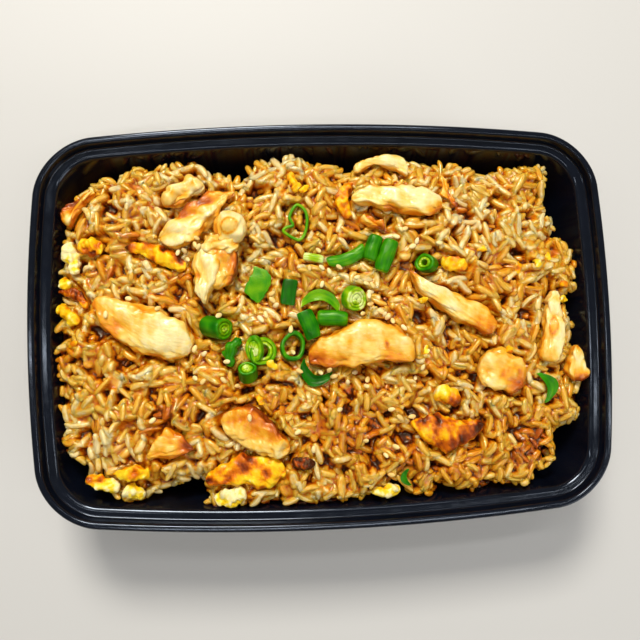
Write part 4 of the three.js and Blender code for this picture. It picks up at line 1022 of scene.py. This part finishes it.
# Least and most: how far a grain may stand up, how far it sinks in, and its own tilt
LEAST, MOST = (1.0, 0.8, -0.35), (2.6, 1.8, 0.35)
may_hold = (heap_inside(PLACE_X, PLACE_Y) > CORE_EDGE + 0.8) & (ceiling > SHUT)
grains, owner = [], np.full(ground.shape, -1)
for _ in range(ROUNDS):
    map_rows, map_columns = np.nonzero(may_hold & (wanted - ground > OPEN_DEPTH))
    if len(map_rows) < FEWEST_CELLS:
        break
    for pick in random.integers(len(map_rows), size=min(PER_ROUND, len(map_rows) // 4)):
        size = GRAIN * (1 + UNEVEN * random.normal(size=3))
        short = random.uniform(0.5, 0.8) if random.random() < BROKEN_SHARE else 1.0
        size[0] *= short
        yaws = random.uniform(0, np.pi, 2)
        stand, overlap, tilt = random.uniform(LEAST, MOST)
        spot = MAP_X[map_columns[pick]], MAP_Y[map_rows[pick]]
        grain = settle(*spot, yaws, size, overlap, STEEPEST, stand, tilt)
        if grain is not None:
            grain, window, risen = grain
            owner[window][risen] = len(grains)
            grains.append(grain)
grains = np.array(grains)
left_open = may_hold & (ceiling == OPEN) & (wanted - ground > 1.5)
print("grains:", len(grains), "left open:", round(float(left_open.sum() / may_hold.sum()), 3))
print("highest grain above the heap:", round(float((ground - wanted)[may_hold].max()), 1), "mm")

# %% [markdown]
# ## The grains' shape and colour
# A cooked grain is a blunt rod, slightly bent, a little flattened and fuller at one end. At
# this size forty-odd faces with smooth shading are enough. All grains of one colour share
# a mesh. Fried rice isn't one colour: where the sauce ran the grains are amber, some are
# browned by the pan and others stayed pale and glassy. Each point carries a tone. Painted
# shade lowers it with the point's depth under the surface, partly for the sauce that gathers
# there, and a painted highlight raises it on each grain's upper side.

# %% A heap of rods as one mesh
def spindles(rows, random, bend=1.0, stations=7, sides=6, blunt=3.4):
    """Spindle i at share t and angle a: along = L (t - 1/2), across = W f cos a + bend, up = T f sin a,
    with f = (1 - |2t - 1|^blunt)^(1/2); then tipped by its slope, turned by its yaw and put in place."""
    x, y, z, yaw, slope, length, width, thick = (rows[:, k][:, None, None] for k in range(8))
    t = ((1 - np.cos(np.pi * np.arange(stations + 2) / (stations + 1))) / 2)[None, :, None]
    a = turns(sides)[None, None, :] + random.uniform(0, 1, x.shape)
    f = np.sqrt(np.clip(1 - np.abs(2 * t - 1) ** blunt, 0, 1))
    plump = 1 + 0.14 * random.uniform(-1, 1, x.shape) * (2 * t - 1) + 0.06 * np.sin(9 * t + 3 * a)
    arch = 4 * t * (1 - t) - 0.6
    bow, sag = (share * random.uniform(-1, 1, x.shape) * arch for share in (bend, 0.5 * bend))
    along = length * (t - 0.5) + 0 * a
    across = width / 2 * f * plump * np.cos(a) + bow
    up = thick / 2 * f * plump * np.sin(a) + sag
    tip = np.arctan(slope)
    level = along * np.cos(tip) - up * np.sin(tip)
    raised = along * np.sin(tip) + up * np.cos(tip)
    points = np.stack([x + level * np.cos(yaw) - across * np.sin(yaw),
                       y + level * np.sin(yaw) + across * np.cos(yaw), z + raised], -1)
    first, last = points[:, 0].mean(axis=1), points[:, -1].mean(axis=1)
    body = points[:, 1:-1].reshape(len(rows), -1, 3)
    cloud = np.concatenate([first[:, None], body, last[:, None]], 1)
    faces = repeated(skin_faces(stations, sides), *cloud.shape[:2])
    tips = np.concatenate([[1.0], np.repeat(np.abs(2 * t[0, 1:-1, 0] - 1), sides), [1.0]])
    tops = np.pad((f * np.sin(a))[:, 1:-1].reshape(len(rows), -1), ((0, 0), (1, 1)))
    return cloud.reshape(-1, 3), faces, np.tile(tips, len(rows)), tops.ravel(), cloud.shape[1]


print("longest and shortest grain:", grains[:, 5].max().round(1), grains[:, 5].min().round(1), "mm")


# %% Rice material
def rice_finish(name, gloss):
    """Translucent oily rice whose colour follows its carried tone, from soaked brown and painted shade to
    pale and glassy.
    """
    return food_finish(name, "tone", (1.8, 4.0), 0.4, [
        (0.0, 0.05, 0.006, 0.0004), (0.14, 0.27, 0.038, 0.0005), (0.28, 0.49, 0.106, 0.0008),
        (0.42, 0.6, 0.165, 0.001), (0.56, 0.68, 0.245, 0.003), (0.7, 0.73, 0.33, 0.016),
        (0.85, 0.78, 0.435, 0.06), (1.0, 0.86, 0.61, 0.28),
    ], (1.3, 2.0, 0.15), Roughness=0.28, Subsurface_Weight=0.9, Subsurface_Scale=0.0028, Coat_Weight=gloss,
        Subsurface_Radius=(1.0, 0.88, 0.7), Specular_Tint=(1.0, 0.86, 0.55, 1.0), Coat_Roughness=0.13)


# %% Reading and evening maps
def evened(values, passes):
    """Evens a map out by passes of (left + 2 x own + right) / 4 along both of its sides."""
    for _ in range(passes):
        for axis in (0, 1):
            values = (np.roll(values, 1, axis) + 2 * values + np.roll(values, -1, axis)) / 4
    return values


def read_map(values, points):
    """The map's value at each point, shared out between its four nearest cells."""
    u = np.clip((points[..., 0] - MAP_X[0]) / CELL, 0, len(MAP_X) - 1.001)
    v = np.clip((points[..., 1] - MAP_Y[0]) / CELL, 0, len(MAP_Y) - 1.001)
    i, j = u.astype(int), v.astype(int)
    p, q = u - i, v - j
    near = values[j, i] * (1 - p) + values[j, i + 1] * p
    far = values[j + 1, i] * (1 - p) + values[j + 1, i + 1] * p
    return near * (1 - q) + far * q


even_ground = evened(ground, 30)
print("mean height of the heap:", round(float(even_ground[may_hold].mean()), 1), "mm")


def sauce_and_shade_below(points):
    """Painted shade, partly for sauce that gathers low down: what a point's tone loses by its depth d under
    the evened heap, d |d| / 12, in mm.
    """
    deep = np.clip(read_map(even_ground, points) - points[..., 2], -1.0, 4.0)
    return deep * np.abs(deep) / 12


# %% Grains from glassy to browned
# Place and reach in mm, then the amount: above nought the rice is darker, below nought paler. This is partly
# sauce that pooled and rice that the pan browned or left pale, and partly painted light and shade: paler
# towards the far side and darker towards the near side
SOAK_LIGHT_AND_SHADE = [
    (-21, 54, 14, -0.8), (-60, 42, 12, -0.8), (62, 44, 15, -0.8), (9, -33, 18, 1), (71, -48, 16, 1.1),
    (21, -55, 12, 0.5), (-68, -24, 20, 0.2), (-88, -40, 13, -1.1), (-57, -36, 8, 0.9), (2, -30, 3, 2.2),
    (31, -52, 3, 2.2), (72, -52, 2.6, 2.4), (76, -15, 2.6, 2.2), (81, -46, 3.4, 2.4), (-82, 20, 2.6, 2),
    (-47, 19, 3, 2.4), (47, -57, 2.6, 2), (-74, 34, 2.6, 2), (-60, -42, 3.4, 1.8), (8, -48, 3, 2.2),
    (-62, -30, 3.4, 2.4), (-91, -33, 2.2, 2.2), (-87, -36, 2.2, 2.2), (-66, -37, 3.2, 2.2),
    (-36, -26, 6, 1.2), (16, -41, 2.6, 2.4), (50, 16, 8, -0.9), (-8, 10, 8, 0.8), (-30, 46, 4, 1.4),
    (-78, -6, 5, 1.2), (28, 20, 4, 1), (90, -28, 4, 1), (-18, -30, 6, 1),
]
soak_and_shade = 0.4 * ripples(grains[:, :3], 26.0, 41) + 0.45 * ripples(grains[:, :3], 9.0, 42)
soak_and_shade += 0.3 * ripples(grains[:, :3], 4.5, 43) + 0.42 * random.normal(size=len(grains))
# Painted shade: grains lying deeper under the evened heap count as more soaked, so they are darker
soak_and_shade += 0.3 * np.clip(read_map(even_ground, grains) - grains[:, 2], 0, 3)
# Painted light and shade, partly sauce and browning: each patch darkens or lightens the grains round it
for x, y, radius, amount in SOAK_LIGHT_AND_SHADE:
    soak_and_shade += amount * np.exp(-((grains[:, 0] - x) ** 2 + (grains[:, 1] - y) ** 2) / radius ** 2)
own_tone = np.clip(0.68 - 0.17 * soak_and_shade, 0.12, 0.92)
order = np.searchsorted([0.0, 0.7, 1.4], soak_and_shade)
grain_finish = rice_finish("glassy_rice", 0.4)
# The kinds follow the soak, so the darker kinds hold grains darkened by painted shade as well as browned
# ones
for number, kind in enumerate(("glassy", "golden", "amber", "browned")):
    rows = grains[order == number]
    points, faces, tips, tops, per_grain = spindles(rows, random)
    # Painted highlight: each grain's upper side is lighter and its underside darker
    tone = np.repeat(own_tone[order == number], per_grain) - 0.1 + 0.08 * tips ** 4 + 0.26 * tops
    # Painted shade: points deeper under the evened heap are darker
    tone = np.clip(tone - sauce_and_shade_below(points), 0, 1)
    add_piece(f"rice_grains_{kind}", points, faces, grain_finish, "rice", {"tone": tone})
    print(kind, "grains:", len(rows), "triangles:", 2 * len(faces[0]) + len(faces[1]))

# %% [markdown]
# ## What holds the clumps together
# Fried rice isn't loose gravel: starch and sauce glue the grains into clumps, and only their
# tops stand clear. A skin just under the grains' tops does this. Its height is read from the
# filled map, evened a little, and its tone is that of the grain on top, so it looks like
# grains melting into each other. Painted shade darkens it in its dips, where no grain lies
# and down its sides, and painted light brightens its bumps. It has a middle and an edge part,
# both closed down to the tray, so that neither has too many faces.

# %% The skin between the grains
SKIN_DEPTH, SEAM_SHARE, SEAM_LAP, CORE_FOOT = 0.15, 0.5, 0.02, 2.6
# Painted shade: the dark tones of the bare core between the grains and of the skin's sides down to the tray.
# Painted light and shade: the tone that follows the skin's relief
RELIEF_LIGHT_AND_SHADE, FUSED_TONE, CORE_SHADE_TONE, FOOT_SHADE_TONE = 0.4, 0.2, 0.2, 0.1
RINGS_A_PART, MIDDLE_AROUND, EDGE_AROUND = 84, 540, 980
skin_height = evened(ground, 1) - SKIN_DEPTH
# Painted shade: cells with no grain on top take the dark core tone
skin_tone = evened(np.where(owner >= 0, own_tone[owner], CORE_SHADE_TONE), 1)
# Painted light and shade: lighter where the skin stands above its evened surroundings, darker in its dips
skin_tone += RELIEF_LIGHT_AND_SHADE * np.clip((ground - evened(ground, 5)) / 0.5, -1.2, 0.6)
fused = 0.7 * smooth_step(ripples(FLAT_PLACES, 8.0, 31), 0.3, 1.1)
fused *= np.clip(evened(ground, 8) - skin_height, 0, 2)
skin_height += fused
skin_tone += FUSED_TONE * np.minimum(fused, 1)
skin_finish = rice_finish("sauced_rice", 0.3)


def skin_edge(angles):
    """Insets at which the skin ends, a little inside the rice's visible edge."""
    return WALL_INSET_AT_GAP + seen_gap(np.cos(angles), np.sin(angles)) + CORE_EDGE + 1.2


def skin_rings(angles, shares):
    """Rings at shares of the way from the middle to the edge, at the skin's height, with their tones."""
    flat = plan_loop(skin_edge(angles), angles)[None] * shares[:, None, None]
    rings = np.concatenate([flat, read_map(skin_height, flat)[..., None]], -1)
    return rings, read_map(skin_tone, flat) - sauce_and_shade_below(rings)


def foot_ring(insets, angles):
    """A ring on the tray's inner face."""
    return np.column_stack([plan_loop(insets, angles), tray_inner(insets) + CLEARANCE])


# Middle part: one point, rings out to the seam, a wall down and one point at the foot
around = turns(MIDDLE_AROUND)
rings, tones = skin_rings(around, np.linspace(0, SEAM_SHARE + SEAM_LAP, RINGS_A_PART)[1:])
rings[-2:, :, 2] -= SKIN_DEPTH
wall = rings[-1] * (1, 1, 0) + (0, 0, CORE_FOOT)
points = np.concatenate([rings[0].mean(0)[None], rings.reshape(-1, 3), wall, [[0, 0, CORE_FOOT]]])
# Painted shade: the wall down to the foot takes the dark foot tone
tone = np.concatenate([[tones[0].mean()], tones.ravel(), np.full(MIDDLE_AROUND + 1, FOOT_SHADE_TONE)])
faces = skin_faces(len(rings) + 1, MIDDLE_AROUND)
add_piece("rice_skin_middle", points, faces, skin_finish, "rice", {"tone": np.clip(tone, 0, 1)})
print("middle skin triangles:", 2 * len(faces[0]) + len(faces[1]))

# Edge part: rings from the seam to the edge, down to the tray and back under the heap
around = turns(EDGE_AROUND)
rings, tones = skin_rings(around, np.linspace(SEAM_SHARE, 1, RINGS_A_PART))
rings[-1, :, 2] = heap_top(rings[-1, :, 0], rings[-1, :, 1], seen_gap) - CORE_DROP
rings[-2, :, 2] = (rings[-3, :, 2] + rings[-1, :, 2]) / 2
insets = skin_edge(around)
feet = np.stack([foot_ring(insets + 1.0, around), foot_ring(np.maximum(insets + 2.0, 22.0), around),
                 rings[0] * (1, 1, 0) + (0, 0, CORE_FOOT)])
grid = np.concatenate([rings, feet]).transpose(1, 0, 2)
# Painted shade: the rings down to the tray take the dark foot tone
tone = np.clip(np.concatenate([tones, np.full(feet.shape[:2], FOOT_SHADE_TONE)]).T, 0, 1)
faces = ring_faces(*grid.shape[:2])
add_piece("rice_skin_edge", grid.reshape(-1, 3), faces, skin_finish, "rice", {"tone": tone})
print("edge skin triangles:", 2 * len(faces[0]))

# %% [markdown]
# ## Sesame seeds
# The seeds were strewn last, so they lie on everything, flat on whatever they meet, and
# thickest round the onion in the middle. Each seed is dropped near its own place, a little
# off it, and tries again where it finds no rest. A seed is a flat teardrop: its width leans
# to one end.

# %% Strewing the seeds and crumbs
for grid in laid:
    ground = stamp(grid, ground, np.maximum)
ceiling = np.where(inside_plan(PLACE_X, PLACE_Y) < SEED_INSET, SHUT, OPEN)
SEED, TRIES, LYING = np.array([2.8, 1.7, 1.0]), 6, 0.9
SEED_PLACES = [
    (-27, 37), (-48, 34), (-49, 30), (-47, 29), (34, 29), (36, 31), (45, 30), (28, 33), (30, 36), (31, 35),
    (-2, 28), (-6, 21), (-1, 21), (2, 20), (5, 22), (12, 17), (16, 16), (18, 14), (18, 12), (-1, 15),
    (17, 10), (17, 7), (14, 3), (21, 4), (22, 3), (24, 2), (23, 1), (25, 0), (29, -2), (-21, 12), (-20, 10),
    (-19, 8), (-40, 4), (-25, 2), (-23, 4), (-14, -2), (-13, -10), (-46, -10), (-49, -8), (-38, -13),
    (-3, -18), (0, -18), (2, -20), (11, -19), (15, -21), (36, -18), (34, -22), (7, -23), (-50, -19),
    (-47, -20), (-39, -20), (-11, -18), (-35, -23), (4, -32), (24, -33), (27, -37), (31, -37), (14, -44),
    (25, -47), (21, -50), (23, -58), (14, -24), (-55, 28), (-53, 29), (-52, 25), (-73, 11), (-62, 8),
    (-81, 6), (-30, -34), (-6, -46), (-66, -34), (-12, -40),
]
seeds = []
for x, y in SEED_PLACES:
    for _ in range(TRIES):
        spot = random.normal([x, y], 0.4)
        yaw, size = random.uniform(0, 2 * np.pi), SEED * (1 + 0.08 * random.normal())
        seed = settle(*spot, [yaw], size, 0.25, LYING)
        if seed is not None:
            seeds.append(seed[0])
            break
seeds = np.array(seeds)
sesame = food_finish("sesame", "tone", (0.6, 2.0), 0.3, [
    (0.0, 0.8, 0.48, 0.1), (0.4, 0.9, 0.68, 0.26), (1.0, 0.95, 0.84, 0.5),
], Roughness=0.4, Subsurface_Weight=0.2, Subsurface_Scale=0.001, Subsurface_Radius=(1.0, 0.7, 0.4))
points, faces, _, _, per_seed = spindles(seeds, random, bend=0.0, sides=8, blunt=2.0)
tone = np.repeat(random.uniform(0.15, 0.75, len(seeds)), per_seed)
add_piece("sesame_seeds", points, faces, sesame, "rice", {"tone": tone})
print("seeds:", len(seeds))

# %% Crumbs of egg and browned bits
# Place, and how burnt each crumb is
CRUMBS = [
    (88, 24, 0.15), (82, 21, 0.15), (93, 7, 0.2), (38, -11, 0.12), (-21, -15, 0.2), (76, 20, 0.45),
    (-94, -5, 0.45), (94, 13, 0.45), (70, -12, 0.35), (-7, 52, 0.3), (61, 27, 0.3), (37, 8, 0.25),
    (-26, -28, 0.4), (73, -64, 0.5),
]
crumbs, chars = [], []
for x, y, burnt_share in CRUMBS:
    size = random.uniform([3.4, 2.0, 1.0], [6.0, 3.2, 1.6])
    crumb = settle(x, y, [random.uniform(0, np.pi)], size, 1.0, LYING)
    if crumb is not None:
        crumbs.append(crumb[0])
        chars.append(burnt_share)
points, faces, _, _, per_crumb = spindles(np.array(crumbs), random, 0.8, stations=12, sides=12, blunt=2.2)
points += 0.4 * ripples(points, 2.0, 77)[:, None] * np.array([1.0, 0.6, 0.4])
char = np.repeat(chars, per_crumb) + 0.12 * ripples(points, 2.2, 78)
add_piece("fried_crumbs", points, faces, egg, "rice", {"char": np.clip(char, 0, 1)})
print("crumbs:", len(crumbs))

# %% [markdown]
# ## The table
# A plain pale floor under the tray catches its shadow. It isn't part of the object.

# %% Floor
FLOOR_HALF = 3.0
corners = [(FLOOR_HALF * x, FLOOR_HALF * y, 0) for x, y in ((-1, -1), (1, -1), (1, 1), (-1, 1))]
floor_mesh = bpy.data.meshes.new("floor")
floor_mesh.from_pydata(corners, [], [(0, 1, 2, 3)])
floor_mesh.materials.append(new_material("pale_floor", Roughness=0.6, Base_Color=(0.6, 0.59, 0.57, 1.0))[0])
floor = bpy.data.objects.new("floor", floor_mesh)
scene.collection.objects.link(floor)
